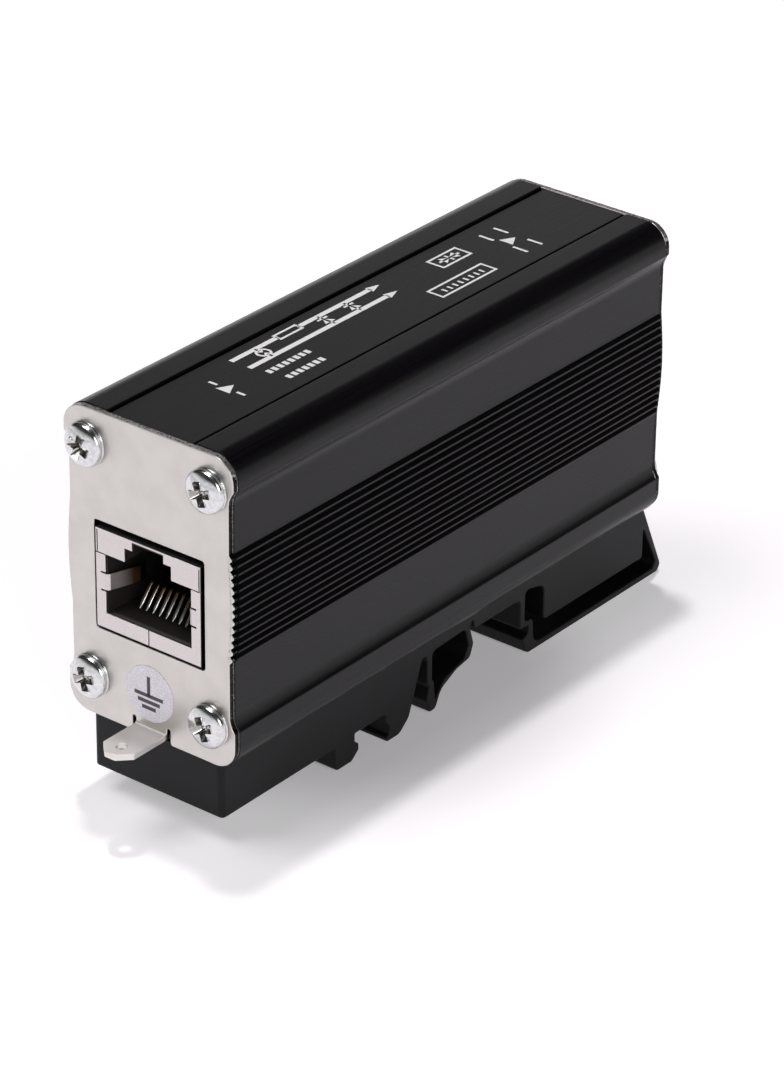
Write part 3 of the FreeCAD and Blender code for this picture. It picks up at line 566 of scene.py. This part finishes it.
def shrunk(outline, amount):
    # Outline moved inwards by amount, for a broken edge.
    moved = []
    count = len(outline)
    area = sum(outline[i - 1].x * outline[i].y - outline[i].x * outline[i - 1].y for i in range(count))
    side = 1 if area > 0 else -1
    for i in range(count):
        into = (outline[i] - outline[i - 1]).normalized()
        out = (outline[(i + 1) % count] - outline[i]).normalized()
        normal, lean = mitre(into, out)
        moved.append(outline[i] + normal * (side * amount / max(0.5, lean)))
    return moved


def makeTube():
    bm = bmesh.new()
    front, back = sheetThickness, totalLength - sheetThickness
    chamfer = housing["endChamfer"]
    outline = housingOutline()
    inset = shrunk(outline, chamfer)
    skins = [[(inset, front), (outline, front + chamfer), (outline, back - chamfer), (inset, back)]]
    holes = [housingHollow()] + [circle(x, z, screws["channelRadius"]) for x in (-screws["x"], screws["x"])
                                 for z in (screws["lowZ"], screws["highZ"])]
    skins += [[(hole, front), (hole, back)] for hole in holes]
    rims = []
    for stations in skins:
        rows = loft(bm, [[place(p.x, y, p.y) for p in ring] for ring, y in stations])
        rims += [rows[0], rows[-1]]
    bm.edges.ensure_lookup_table()
    for end in (0, 1):
        edges = []
        for rim in rims[end::2]:
            edges += [bm.edges.get((rim[i - 1], rim[i])) for i in range(len(rim))]
        bmesh.ops.triangle_fill(bm, use_beauty=True, use_dissolve=False, edges=edges)
    return meshFrom(bm, "tube")


def makeRib(facts):
    # One rib, its foot sunk in the wall, lying along Y with its root at X = 0.
    half, flat, height, seat = ribs["pitch"] / 2, facts["flat"] / 2, facts["height"], facts["seat"]
    section = [(-seat, -half, 0), (0, -half, 0), (height, -flat, facts["crestRound"]),
               (height, flat, facts["crestRound"]), (0, half, 0), (-seat, half, 0)]
    outline = roundCorners(section, 20.0)
    reach, chamfer = facts["length"] / 2, facts["chamfer"]
    bm = bmesh.new()
    rings = []
    for y, scale in ((-reach, 0.8), (-reach + chamfer, 1), (reach - chamfer, 1), (reach, 0.8)):
        rings.append([Vector(((p.x if p.x < 0 else p.x * scale) * mm, y * mm, p.y * mm)) for p in outline])
    solidLoft(bm, rings)
    return meshFrom(bm, "rib")


def ribTree():
    tree, given = geometryTree("ribs_on_the_belly", {"Rib": "Object", "Count": "Int", "Pitch": "Float",
                                                     "Bulge": "Float", "Wall": "Float", "Start": "Vector",
                                                     "Both Sides": "Bool", "Finish": "Material"})
    step = addNode(tree, "ShaderNodeCombineXYZ", {2: given["Pitch"]})
    line = addNode(tree, "GeometryNodeMeshLine",
                   {"Count": given["Count"], "Start Location": given["Start"], "Offset": step.outputs[0]})
    index = addNode(tree, "GeometryNodeInputIndex")
    middle = addNode(tree, "ShaderNodeMath", {0: index.outputs[0], 1: 0.5}, operation="ADD")
    share = addNode(tree, "ShaderNodeMath", {0: middle.outputs[0], 1: given["Count"]}, operation="DIVIDE")
    angle = addNode(tree, "ShaderNodeMath", {0: share.outputs[0], 1: math.pi}, operation="MULTIPLY")
    wave = addNode(tree, "ShaderNodeMath", {0: angle.outputs[0]}, operation="SINE")
    inputs = {0: wave.outputs[0], 1: given["Bulge"], 2: given["Wall"]}
    swell = addNode(tree, "ShaderNodeMath", inputs, operation="MULTIPLY_ADD")
    outward = addNode(tree, "ShaderNodeCombineXYZ", {0: swell.outputs[0]})
    bowed = addNode(tree, "GeometryNodeSetPosition", {0: line.outputs[0], "Offset": outward.outputs[0]})
    rib = addNode(tree, "GeometryNodeObjectInfo", {"Object": given["Rib"]}).outputs["Geometry"]
    side = addNode(tree, "GeometryNodeInstanceOnPoints", {"Points": bowed.outputs[0], "Instance": rib})
    other = addNode(tree, "GeometryNodeTransform", {0: side.outputs[0], "Rotation": (0, 0, math.pi)})
    both = addNode(tree, "GeometryNodeJoinGeometry", {0: side.outputs[0]})
    tree.links.new(other.outputs[0], both.inputs[0])
    inputs = {"Switch": given["Both Sides"], "False": side.outputs[0], "True": both.outputs[0]}
    chosen = addNode(tree, "GeometryNodeSwitch", inputs, input_type="GEOMETRY")
    return closeTree(tree, chosen.outputs[0], given["Finish"])


def ribBelt(facts, bothSides, finish):
    # The ribs of one side or both, standing on the wall; facts are those of ribs or of teeth.
    ribHelper = linkedObject("rib", makeRib(facts))
    start = (0, 0, (bellyBottom + ribs["pitch"] / 2 + datumZ) * mm)
    mesh = grow(beltOfRibs, {"Rib": ribHelper, "Count": ribs["count"], "Pitch": ribs["pitch"] * mm,
                             "Bulge": ribs["bulge"] * mm, "Wall": facts["wall"] * mm, "Start": start,
                             "Both Sides": bothSides, "Finish": finish})
    bpy.data.objects.remove(ribHelper)
    return mesh


def joined(name, *meshes):
    bm = bmesh.new()
    for mesh in meshes:
        bm.from_mesh(mesh)
    return plainMesh(bm, name)


housingFinish = anodisedAluminium(bellyBottom + beltHalf + datumZ, beltHalf)
beltOfRibs = ribTree()
longRibs = ribBelt(ribs, True, housingFinish)
longRibs.transform(Matrix.Translation(place(0, totalLength / 2, -datumZ)))
housingMesh = joined("extruded_housing", makeTube(), longRibs)
shade(housingMesh, 24)
holder = linkedObject("housing_holder", housingMesh)
holder.modifiers.new("normals", "WEIGHTED_NORMAL").keep_sharp = True
addPiece("extruded_housing", bakeModifiers(holder), housingFinish, ["housing_extrusion"])


print("plates, shields, inserts and foot")
plateInset = 0.15
teeth = {"length": sheetThickness, "wall": housing["waistHalf"] - plateInset, "height": 0.36, "flat": 0.3,
         "crestRound": 0.1, "seat": 0.14, "chamfer": 0.03}
# One side of the blank carries small teeth that follow the ribs; the rear blank is the same one turned about.
for source, half, middle in (("front_end_plate", 0, sheetThickness / 2),
                             ("rear_end_plate", math.pi, totalLength - sheetThickness / 2)):
    row = ribBelt(teeth, False, plateFinish)
    row.transform(Matrix.Translation(place(0, middle, -datumZ)) @ Matrix.Rotation(half, 4, "Z"))
    shade(row, 24)
    plate = joined(source, edgedCopy(source, plateEdge), row)
    addPiece(source + "_finished", plate, plateFinish, [source])
edged = {"line_in_shield": (0.03, shieldFinish, "shield"), "line_out_shield": (0.03, shieldFinish, "shield"),
         "line_in_insert": (0.04, insertFinish, "insert"), "line_out_insert": (0.04, insertFinish, "insert"),
         "din_rail_foot": (0.16, footFinish, "foot")}
for source, (edge, finish, slot) in edged.items():
    addPiece(source + "_finished", edgedCopy(source, edge), finish, [source])


print("screws")
head = {"height": 1.8, "crown": 0.62, "faceRadius": 2.45, "shank": 1.5, "neck": 0.7, "length": 8.0,
        "threadPitch": 0.5, "threadDepth": 0.28, "recessReach": 1.52, "recessRoot": 0.46, "recessTip": 0.58,
        "recessTaper": 0.55, "recessDepth": 1.0, "perSide": 6}


def crossOutline(scale):
    # Cross with four flared wings, its corners slightly rounded.
    points = []
    count = head["perSide"]
    for wing in range(4):
        angle = math.pi / 2 * wing
        along = Vector((math.cos(angle), math.sin(angle)))
        across = Vector((-along.y, along.x))
        root = along * head["recessRoot"] - across * head["recessRoot"]
        near = along * head["recessReach"] - across * head["recessTip"]
        far = along * head["recessReach"] + across * head["recessTip"]
        nextRoot = along * head["recessRoot"] + across * head["recessRoot"]
        for start, end in ((root, near), (near, far), (far, nextRoot)):
            points += [start.lerp(end, k / count) * scale for k in range(count)]
    soft = []
    for i in range(len(points)):
        soft.append(points[i] * 0.7 + (points[i - 1] + points[(i + 1) % len(points)]) * 0.15)
    return soft


def makeScrew():
    bm = bmesh.new()
    depth = bm.verts.layers.float.new("recess")
    count = head["perSide"] * 12  # the cross has twelve sides
    angles = [math.radians(-45) + 2 * math.pi * k / count for k in range(count)]
    top = -head["height"]

    def dome(radius):
        return top + head["crown"] * (radius / head["faceRadius"]) ** 2

    def ring(radius, y):
        return [Vector((radius * math.cos(a) * mm, y * mm, radius * math.sin(a) * mm)) for a in angles]

    def cross(scale, y=None, towards=0.0, radius=1.8):
        rim = []
        for point, a in zip(crossOutline(scale), angles):
            goal = Vector((math.cos(a), math.sin(a))) * radius
            spot = point.lerp(goal, towards)
            rim.append(Vector((spot.x * mm, (dome(spot.length) if y is None else y) * mm, spot.y * mm)))
        return rim

    bottom = top + head["recessDepth"]
    # from the recess's floor up its walls and over the crown
    rings = [cross(0.2, bottom - 0.22), cross(head["recessTaper"], bottom), cross(0.96, top + 0.16),
             cross(1.0, top + 0.05), cross(1.03), cross(1.03, None, 0.3), cross(1.03, None, 0.65)]
    rings += [ring(radius, dome(radius)) for radius in (1.8, 2.1, head["faceRadius"])]
    # the head's rim with its fine groove, and the neck: radius and depth
    body = [(2.58, -1.09), (2.68, -0.98), (2.75, -0.85), (2.79, -0.72), (2.8, -0.62), (2.8, -0.46),
            (2.77, -0.42), (2.7, -0.39), (2.67, -0.35), (2.7, -0.31), (2.77, -0.28), (2.8, -0.24),
            (2.8, -0.08), (2.75, -0.02), (2.6, 0.0), (1.6, 0.0), (1.5, 0.1), (1.5, head["neck"])]
    threads = int((head["length"] - head["neck"]) / head["threadPitch"] - 1)
    for k in range(threads):
        y = head["neck"] + k * head["threadPitch"]
        body += [(head["shank"] - head["threadDepth"], y + head["threadPitch"] / 2),
                 (head["shank"], y + head["threadPitch"])]
    body += [(1.1, head["length"] - 0.1), (0.9, head["length"])]
    rings += [ring(radius, y) for radius, y in body]
    rows = loft(bm, rings)
    closeWithPole(bm, rows[0], Vector((0, (bottom - 0.1) * mm, 0)))
    closeWithPole(bm, rows[-1], Vector((0, head["length"] * mm, 0)))
    # The recess's rows are weighted for its painted shade, the last one weakly.
    for row, amount in zip(rows[:4], (1.0, 1.0, 1.0, 0.35)):
        for vertex in row:
            vertex[depth] = amount
    return meshFrom(bm, "screw", 38)


def screwTree():
    inputs = {"Screw": "Object", "Span": "Float", "Rise": "Float", "Centre": "Vector", "Half Turn": "Float"}
    inputs.update({"Turn %d" % (i + 1): "Float" for i in range(4)})
    tree, given = geometryTree("four_screws", {**inputs, "Finish": "Material"})
    grid = addNode(tree, "GeometryNodeMeshGrid",
                   {"Size X": given["Span"], "Size Y": given["Rise"], "Vertices X": 2, "Vertices Y": 2})
    upright = addNode(tree, "GeometryNodeTransform", {0: grid.outputs[0], "Rotation": (math.pi / 2, 0, 0)})
    index = addNode(tree, "GeometryNodeInputIndex")
    turns = addNode(tree, "GeometryNodeIndexSwitch", {0: index.outputs[0]}, data_type="FLOAT")
    while len(turns.index_switch_items) < 4:
        turns.index_switch_items.new()
    for i in range(4):
        tree.links.new(given["Turn %d" % (i + 1)], turns.inputs[i + 1])
    euler = addNode(tree, "ShaderNodeCombineXYZ", {1: turns.outputs[0]})
    spin = addNode(tree, "FunctionNodeEulerToRotation", {0: euler.outputs[0]})
    screw = addNode(tree, "GeometryNodeObjectInfo", {"Object": given["Screw"]}).outputs["Geometry"]
    four = addNode(tree, "GeometryNodeInstanceOnPoints",
                   {"Points": upright.outputs[0], "Rotation": spin.outputs[0], "Instance": screw})
    facing = addNode(tree, "ShaderNodeCombineXYZ", {2: given["Half Turn"]})
    there = addNode(tree, "GeometryNodeTransform",
                    {0: four.outputs[0], "Translation": given["Centre"], "Rotation": facing.outputs[0]})
    return closeTree(tree, there.outputs[0], given["Finish"])


# turns of the recesses: lower left, upper left, lower right, upper right as seen from that end
screwSets = {"front_plate_screws": {"turns": (-14, 20, -22, -17), "y": 0, "half": 0},
             "rear_plate_screws": {"turns": (35, -30, 8, 55), "y": totalLength, "half": math.pi}}
screwHelper = linkedObject("screw", makeScrew())
fourScrews = screwTree()
lowZ, highZ = screws["lowZ"], screws["highZ"]
for source, facts in screwSets.items():
    values = {"Screw": screwHelper, "Span": 2 * screws["x"] * mm, "Rise": (highZ - lowZ) * mm,
              "Centre": place(0, facts["y"], (highZ + lowZ) / 2), "Half Turn": facts["half"],
              "Finish": screwFinish}
    for i, turn in enumerate(facts["turns"]):
        values["Turn %d" % (i + 1)] = math.radians(turn)
    addPiece(source + "_finished", grow(fourScrews, values), screwFinish, [source])
bpy.data.objects.remove(screwHelper)


print("contacts")
contact = {"count": 8, "pitch": 1.016, "halfWidth": 0.2, "halfThickness": 0.15, "edge": 0.06,
           "tipDepth": 2.5, "tipHeight": 2.8, "rise": 2.65, "angle": 49, "bend": 0.7, "rows": (15.2, 17.7),
           "tail": 2.6, "pointLength": 0.75, "pointHalf": 0.05, "standOut": 0.2}
contactFinish = goldFlashedBronze(board["top"] + 3.4, board["top"] + 5.2)


def makeContact(row):
    # Wire with a broken-edged section along its path in Y and Z; the point is drawn thin.
    level = contact["tipHeight"] + contact["rise"]
    knee = contact["tipDepth"] + contact["rise"] / math.tan(math.radians(contact["angle"]))
    corners = [(contact["tipDepth"], contact["tipHeight"], 0), (knee, level, contact["bend"]),
               (row, level, 0.3), (row, -contact["tail"], 0)]
    path = roundCorners(corners, 12.0, closed=False)
    slope = (path[1] - path[0]).normalized()
    fine = [path[0] + slope * (contact["pointLength"] * k / 4) for k in range(5)]
    path = fine + path[1:]
    rings = []
    travelled = 0.0
    for i, spot in enumerate(path):
        if i:
            travelled += (spot - path[i - 1]).length
        into = (spot - path[i - 1]).normalized() if i else slope
        out = (path[i + 1] - spot).normalized() if i + 1 < len(path) else into
        normal, lean = mitre(into, out)
        share = min(1.0, travelled / contact["pointLength"])
        growth = math.sin(share * math.pi / 2)
        half = contact["pointHalf"] + (contact["halfWidth"] - contact["pointHalf"]) * growth
        thick = contact["halfThickness"] * (0.55 + 0.45 * share)
        cut = min(contact["edge"], half * 0.6)
        section = [(half, thick - cut), (half - cut, thick), (cut - half, thick), (-half, thick - cut),
                   (-half, cut - thick), (cut - half, -thick), (half - cut, -thick), (half, cut - thick)]
        deep, high = spot.x - contact["standOut"], spot.y + board["top"]
        rings.append([place(u, deep + normal.x * v, high + normal.y * v) for u, v in section])
    bm = bmesh.new()
    solidLoft(bm, rings)
    return meshFrom(bm, "contact", 40)


def contactTree():
    tree, given = geometryTree("row_of_contacts",
                               {"Near Row": "Object", "Far Row": "Object", "Count": "Int", "Pitch": "Float",
                                "Half Turn": "Float", "Finish": "Material"})
    last = addNode(tree, "ShaderNodeMath", {0: given["Count"], 1: 1.0}, operation="SUBTRACT")
    span = addNode(tree, "ShaderNodeMath", {0: last.outputs[0], 1: given["Pitch"]}, operation="MULTIPLY")
    start = addNode(tree, "ShaderNodeMath", {0: span.outputs[0], 1: -0.5}, operation="MULTIPLY")
    first = addNode(tree, "ShaderNodeCombineXYZ", {0: start.outputs[0]})
    step = addNode(tree, "ShaderNodeCombineXYZ", {0: given["Pitch"]})
    line = addNode(tree, "GeometryNodeMeshLine",
                   {"Count": given["Count"], "Start Location": first.outputs[0], "Offset": step.outputs[0]})
    index = addNode(tree, "GeometryNodeInputIndex")
    odd = addNode(tree, "ShaderNodeMath", {0: index.outputs[0], 1: 2.0}, operation="MODULO")
    even = addNode(tree, "ShaderNodeMath", {0: 1.0, 1: odd.outputs[0]}, operation="SUBTRACT")
    both = addNode(tree, "GeometryNodeJoinGeometry")
    for row, every in (("Near Row", even), ("Far Row", odd)):
        wire = addNode(tree, "GeometryNodeObjectInfo", {"Object": given[row]}).outputs["Geometry"]
        ones = addNode(tree, "GeometryNodeInstanceOnPoints",
                       {"Points": line.outputs[0], "Selection": every.outputs[0], "Instance": wire})
        tree.links.new(ones.outputs[0], both.inputs[0])
    facing = addNode(tree, "ShaderNodeCombineXYZ", {2: given["Half Turn"]})
    there = addNode(tree, "GeometryNodeTransform", {0: both.outputs[0], "Rotation": facing.outputs[0]})
    return closeTree(tree, there.outputs[0], given["Finish"])


nearHelper = linkedObject("near_contact", makeContact(contact["rows"][0]))
farHelper = linkedObject("far_contact", makeContact(contact["rows"][1]))
eightContacts = contactTree()
turnAbout = 2 * (datumY + totalLength / 2) * mm
for side, half in (("line_in", 0.0), ("line_out", math.pi)):
    mesh = grow(eightContacts, {"Near Row": nearHelper, "Far Row": farHelper, "Count": contact["count"],
                                "Pitch": contact["pitch"] * mm, "Half Turn": half, "Finish": contactFinish})
    if half:
        mesh.transform(Matrix.Translation((0, turnAbout, 0)))
    addPiece(side + "_contacts", mesh, contactFinish,
             ["%s_contact_%d" % (side, k + 1) for k in range(contact["count"])])
bpy.data.objects.remove(nearHelper)
bpy.data.objects.remove(farHelper)


print("label and print")
label = {"radius": 3.7, "x": -0.15, "z": 6.05, "thickness": 0.1, "inkLift": 0.008, "line": 0.5}


def inkStrokes(strokes, lift, toSpace):
    # Flat printed lines: each is (points, width, closed), laid lift thick on a surface.
    bm = bmesh.new()
    for points, width, closed in strokes:
        path = [Vector(p) for p in points]
        count = len(path)
        left, right = [], []
        for i, here in enumerate(path):
            before = path[i - 1] if (i or closed) else None
            after = path[(i + 1) % count] if (i + 1 < count or closed) else None
            into = (here - before).normalized() if before is not None else (after - here).normalized()
            out = (after - here).normalized() if after is not None else into
            normal, lean = mitre(into, out)
            reach = width / 2 / max(0.4, lean)
            left.append(here + normal * reach)
            right.append(here - normal * reach)
        rings = [[toSpace(*l, 0), toSpace(*r, 0), toSpace(*r, lift), toSpace(*l, lift)]
                 for l, r in zip(left, right)]
        if closed:
            loft(bm, rings, endless=True)
        else:
            solidLoft(bm, rings)
    return bm


def makeLabel():
    bm = bmesh.new()
    rings = []
    radius, thickness, broken = label["radius"], label["thickness"], 0.03
    for wide, depth in ((radius, 0), (radius, thickness - broken), (radius - broken, thickness)):
        rings.append([place(p.x, -depth, p.y) for p in circle(label["x"], label["z"], wide, 72)])
    solidLoft(bm, rings)
    return meshFrom(bm, "label", 30)


addPiece("earth_label_finished", makeLabel(), labelFinish, ["earth_label"])
bars = [((0, 2.3), (0, -0.3)), ((-2.22, -0.3), (2.22, -0.3)), ((-1.72, -1.12), (1.72, -1.12)),
        ((-1.08, -1.94), (1.08, -1.94))]
labelInk = inkStrokes([(points, label["line"], False) for points in bars], label["inkLift"],
                      lambda u, v, h: place(label["x"] - 0.1 + u, -label["thickness"] - h, label["z"] + v))
addPiece("earth_symbol_print", meshFrom(labelInk, "earth_symbol"), greyInk)

# Print on the roof, a plain circuit scheme: u runs along Y, v towards -X.
roofPrint = {"lift": 0.008, "bold": 0.75, "fine": 0.34, "dash": 0.95, "high": 4.3, "low": 1.5}


def roofSpace(u, v, h):
    return place(-v, u, housing["height"] - housing["labelRecess"] + h)


def loop(u, v, radius, count=36):
    return [(p.x, p.y) for p in circle(u, v, radius, count)]


def frameOf(u0, u1, v0, v1):
    return [(u0, v0), (u1, v0), (u1, v1), (u0, v1)]


bold, fine, dash = roofPrint["bold"], roofPrint["fine"], roofPrint["dash"]
high, low = roofPrint["high"], roofPrint["low"]
middle = (high + low) / 2
strokes = [([(20, high), (28.5, high)], bold, False), ([(32.5, high), (46.2, high)], bold, False),
           ([(20, low), (46.2, low)], bold, False), (frameOf(28.5, 32.5, high - 0.6, high + 0.6), fine, True),
           ([(24.3, high), (24.3, middle + 0.9)], fine, False),
           ([(24.3, middle - 0.9), (24.3, low)], fine, False),
           (loop(24.3, middle, 0.9), fine, True), (frameOf(57.0, 62.5, 1.3, 3.9), fine, True),
           ([(57.8, 2.6), (61.7, 2.6)], fine, False), ([(59.75, 3.4), (59.75, 1.8)], fine, False),
           (frameOf(50.2, 60.8, -3.9, -1.5), fine, True)]
for u in (36.0, 41.0):
    strokes += [([(u, high), (u, low)], fine, False), ([(u - 0.9, 3.5), (u + 0.9, 3.5)], fine, False)]
strokes += [([(51.8 + k * 1.06, -3.3), (51.8 + k * 1.06, -2.4)], fine, False) for k in range(8)]
strokes += [([(20.5 + k, -0.9), (21.15 + k, -0.9)], dash, False) for k in range(8)]
strokes += [([(21.0 + k, -3.5), (21.65 + k, -3.5)], dash, False) for k in range(7)]
for u, outer in ((14.2, 2.8), (67.4, 3.8), (70.4, 3.8)):
    strokes += [([(u, side * 1.5), (u, side * outer)], 0.4, False) for side in (-1, 1)]
roofInk = inkStrokes(strokes, roofPrint["lift"], roofSpace)
for points in ([(13.4, -1.1), (13.4, 1.1), (15.4, 0)], [(67.9, -1.1), (67.9, 1.1), (69.9, 0)],
               [(35.1, 2.2), (36.9, 2.2), (36.0, 3.5)], [(40.1, 2.2), (41.9, 2.2), (41.0, 3.5)],
               [(58.4, 1.8), (58.4, 3.4), (59.75, 2.6)], [(61.1, 1.8), (61.1, 3.4), (59.75, 2.6)],
               [(23.8, 2.3), (24.8, 2.3), (24.3, 2.8)], [(23.8, 3.5), (24.8, 3.5), (24.3, 3.0)],
               [(46.0, high - 0.7), (46.0, high + 0.7), (48.0, high)],
               [(46.0, low - 0.7), (46.0, low + 0.7), (48.0, low)]):
    solidLoft(roofInk, [[roofSpace(u, v, h) for u, v in points] for h in (0, roofPrint["lift"])])
addPiece("roof_print", meshFrom(roofInk, "roof_print"), whiteInk)


print("finishes of the pieces inside")
inside = {"circuit_board": solderMask(), "insulating_film": polyesterFilm(),
          "earth_spring": rolledSpringSteel()}
arrester = ceramicArrester(pitch=3.8, first=-4.5, flange=0.8, length=8.4)
diode = epoxyPackage(centre=3.2, halfWidth=1.95)
for k in range(4):
    inside["gas_arrester_%d" % (k + 1)] = arrester
    inside["diode_array_%d" % (k + 1)] = diode
for name, finish in inside.items():
    for slotOfNode in nodes[name].material_slots:
        slotOfNode.material = finish


print("floor, lights and camera")
studio = {"floorRadius": 6.0, "floorColour": "#f3edf3", "floorGlow": 0.21, "farGlow": 0.35, "near": 0.018,
          "far": 0.036, "skyLow": 0.1, "skyHigh": 0.25, "horizon": 1.0, "zenith": 0.03, "middle": 0.025}
# each lamp's place and width in metres, and its level
lamps = {"key": ((-0.121, 0.07, 1.0), 0.07, 0.4),
         "front_left_softbox": ((-0.224, -0.387, 1.005), 0.55, 0.36),
         "right_front_fill": ((1.18, -0.68, 0.634), 0.75, 0.32),
         "left_back_panel": ((-0.937, 1.116, 0.355), 0.95, 0.05)}


def makeFloor():
    bm = bmesh.new()
    bmesh.ops.create_circle(bm, cap_ends=True, radius=studio["floorRadius"], segments=64)
    mesh = plainMesh(bm, "floor")
    # Matt white paper; it glows a little for the camera and for reflections, more so away from the object:
    # painted light that clears it to white and lightens the outer shadow, while the shadow by the object
    # stays.
    material, tree = newMaterial("white_paper_floor")
    paper = addNode(tree, "ShaderNodeBsdfDiffuse", {"Color": hexColor(studio["floorColour"])})
    path = addNode(tree, "ShaderNodeLightPath")
    seen = path.outputs["Is Camera Ray"]
    for ray in ("Is Glossy Ray", "Is Transmission Ray"):
        inputs = {0: seen, 1: path.outputs[ray]}
        seen = addNode(tree, "ShaderNodeMath", inputs, operation="ADD", use_clamp=True).outputs[0]
    texture = addNode(tree, "ShaderNodeTexCoord")
    away = addNode(tree, "ShaderNodeVectorMath", {0: texture.outputs["Object"]}, operation="LENGTH")
    inputs = {0: away.outputs["Value"], 1: studio["near"], 2: studio["far"], 3: studio["floorGlow"],
              4: studio["farGlow"]}
    rising = addNode(tree, "ShaderNodeMapRange", inputs, interpolation_type="SMOOTHSTEP")
    glowing = addNode(tree, "ShaderNodeMath", {0: seen, 1: rising.outputs[0]}, operation="MULTIPLY")
    glow = addNode(tree, "ShaderNodeEmission", {"Color": (1, 1, 1, 1), "Strength": glowing.outputs[0]})
    both = addNode(tree, "ShaderNodeAddShader", {0: paper.outputs[0], 1: glow.outputs[0]})
    addNode(tree, "ShaderNodeOutputMaterial", {"Surface": both.outputs[0]})
    mesh.materials.append(material)
    linkedObject("floor", mesh)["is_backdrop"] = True


def makeSky():
    # White near the horizon, as over a wide paper sweep, and dim above, as in a dark studio.
    world = bpy.data.worlds.new("studio")
    scene.world = world
    world.use_nodes = True
    tree = world.node_tree
    tree.nodes.clear()
    texture = addNode(tree, "ShaderNodeTexCoord")
    direction = addNode(tree, "ShaderNodeSeparateXYZ", {0: texture.outputs["Generated"]})
    level = addNode(tree, "ShaderNodeMapRange",
                    {0: direction.outputs[2], 1: studio["skyLow"], 2: studio["skyHigh"],
                     3: studio["horizon"], 4: studio["zenith"]})
    sky = addNode(tree, "ShaderNodeBackground", {"Color": (1, 1, 1, 1), "Strength": level.outputs[0]})
    addNode(tree, "ShaderNodeOutputWorld", {"Surface": sky.outputs[0]})


def addLamp(name, position, size, level):
    # level is the irradiance over pi that it gives a surface facing it at the object.
    data = bpy.data.lights.new(name, "AREA")
    data.shape = "DISK"
    data.size = size
    spot, goal = Vector(position), Vector((0, 0, studio["middle"]))
    data.energy = level * math.pi ** 2 * (spot - goal).length_squared
    facing = (spot - goal).to_track_quat("Z", "Y").to_matrix().to_4x4()
    linkedObject(name, data).matrix_world = Matrix.Translation(spot) @ facing


makeFloor()
makeSky()
for name, facts in lamps.items():
    addLamp(name, *facts)

camera = {"azimuth": 38.0979, "elevation": 28.0205, "roll": 0.7233, "distance": 549.4391, "aimY": -0.8655,
          "aimZ": 25.0, "right": 3.1087, "up": -2.2567, "lens": 150.45, "sensor": 36.0}


def makeCamera():
    azimuth, elevation, roll = (math.radians(camera[key]) for key in ("azimuth", "elevation", "roll"))
    back = Vector((math.sin(azimuth) * math.cos(elevation), -math.cos(azimuth) * math.cos(elevation),
                   math.sin(elevation)))
    level = Vector((math.cos(azimuth), math.sin(azimuth), 0))
    upright = back.cross(level)
    right = level * math.cos(roll) + upright * math.sin(roll)
    up = upright * math.cos(roll) - level * math.sin(roll)
    aim = Vector((0, camera["aimY"], camera["aimZ"]))
    spot = aim + right * camera["right"] + up * camera["up"] + back * camera["distance"]
    data = bpy.data.cameras.new("photo_camera")
    data.sensor_width = camera["sensor"]
    data.lens = camera["lens"]
    data.clip_start = 0.01
    data.clip_end = 20
    holder = linkedObject("photo_camera", data)
    holder.matrix_world = Matrix.Translation(spot * mm) @ Matrix((right, up, back)).transposed().to_4x4()
    scene.camera = holder


makeCamera()
scene.view_settings.view_transform = "Standard"

print("sizes")
low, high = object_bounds()
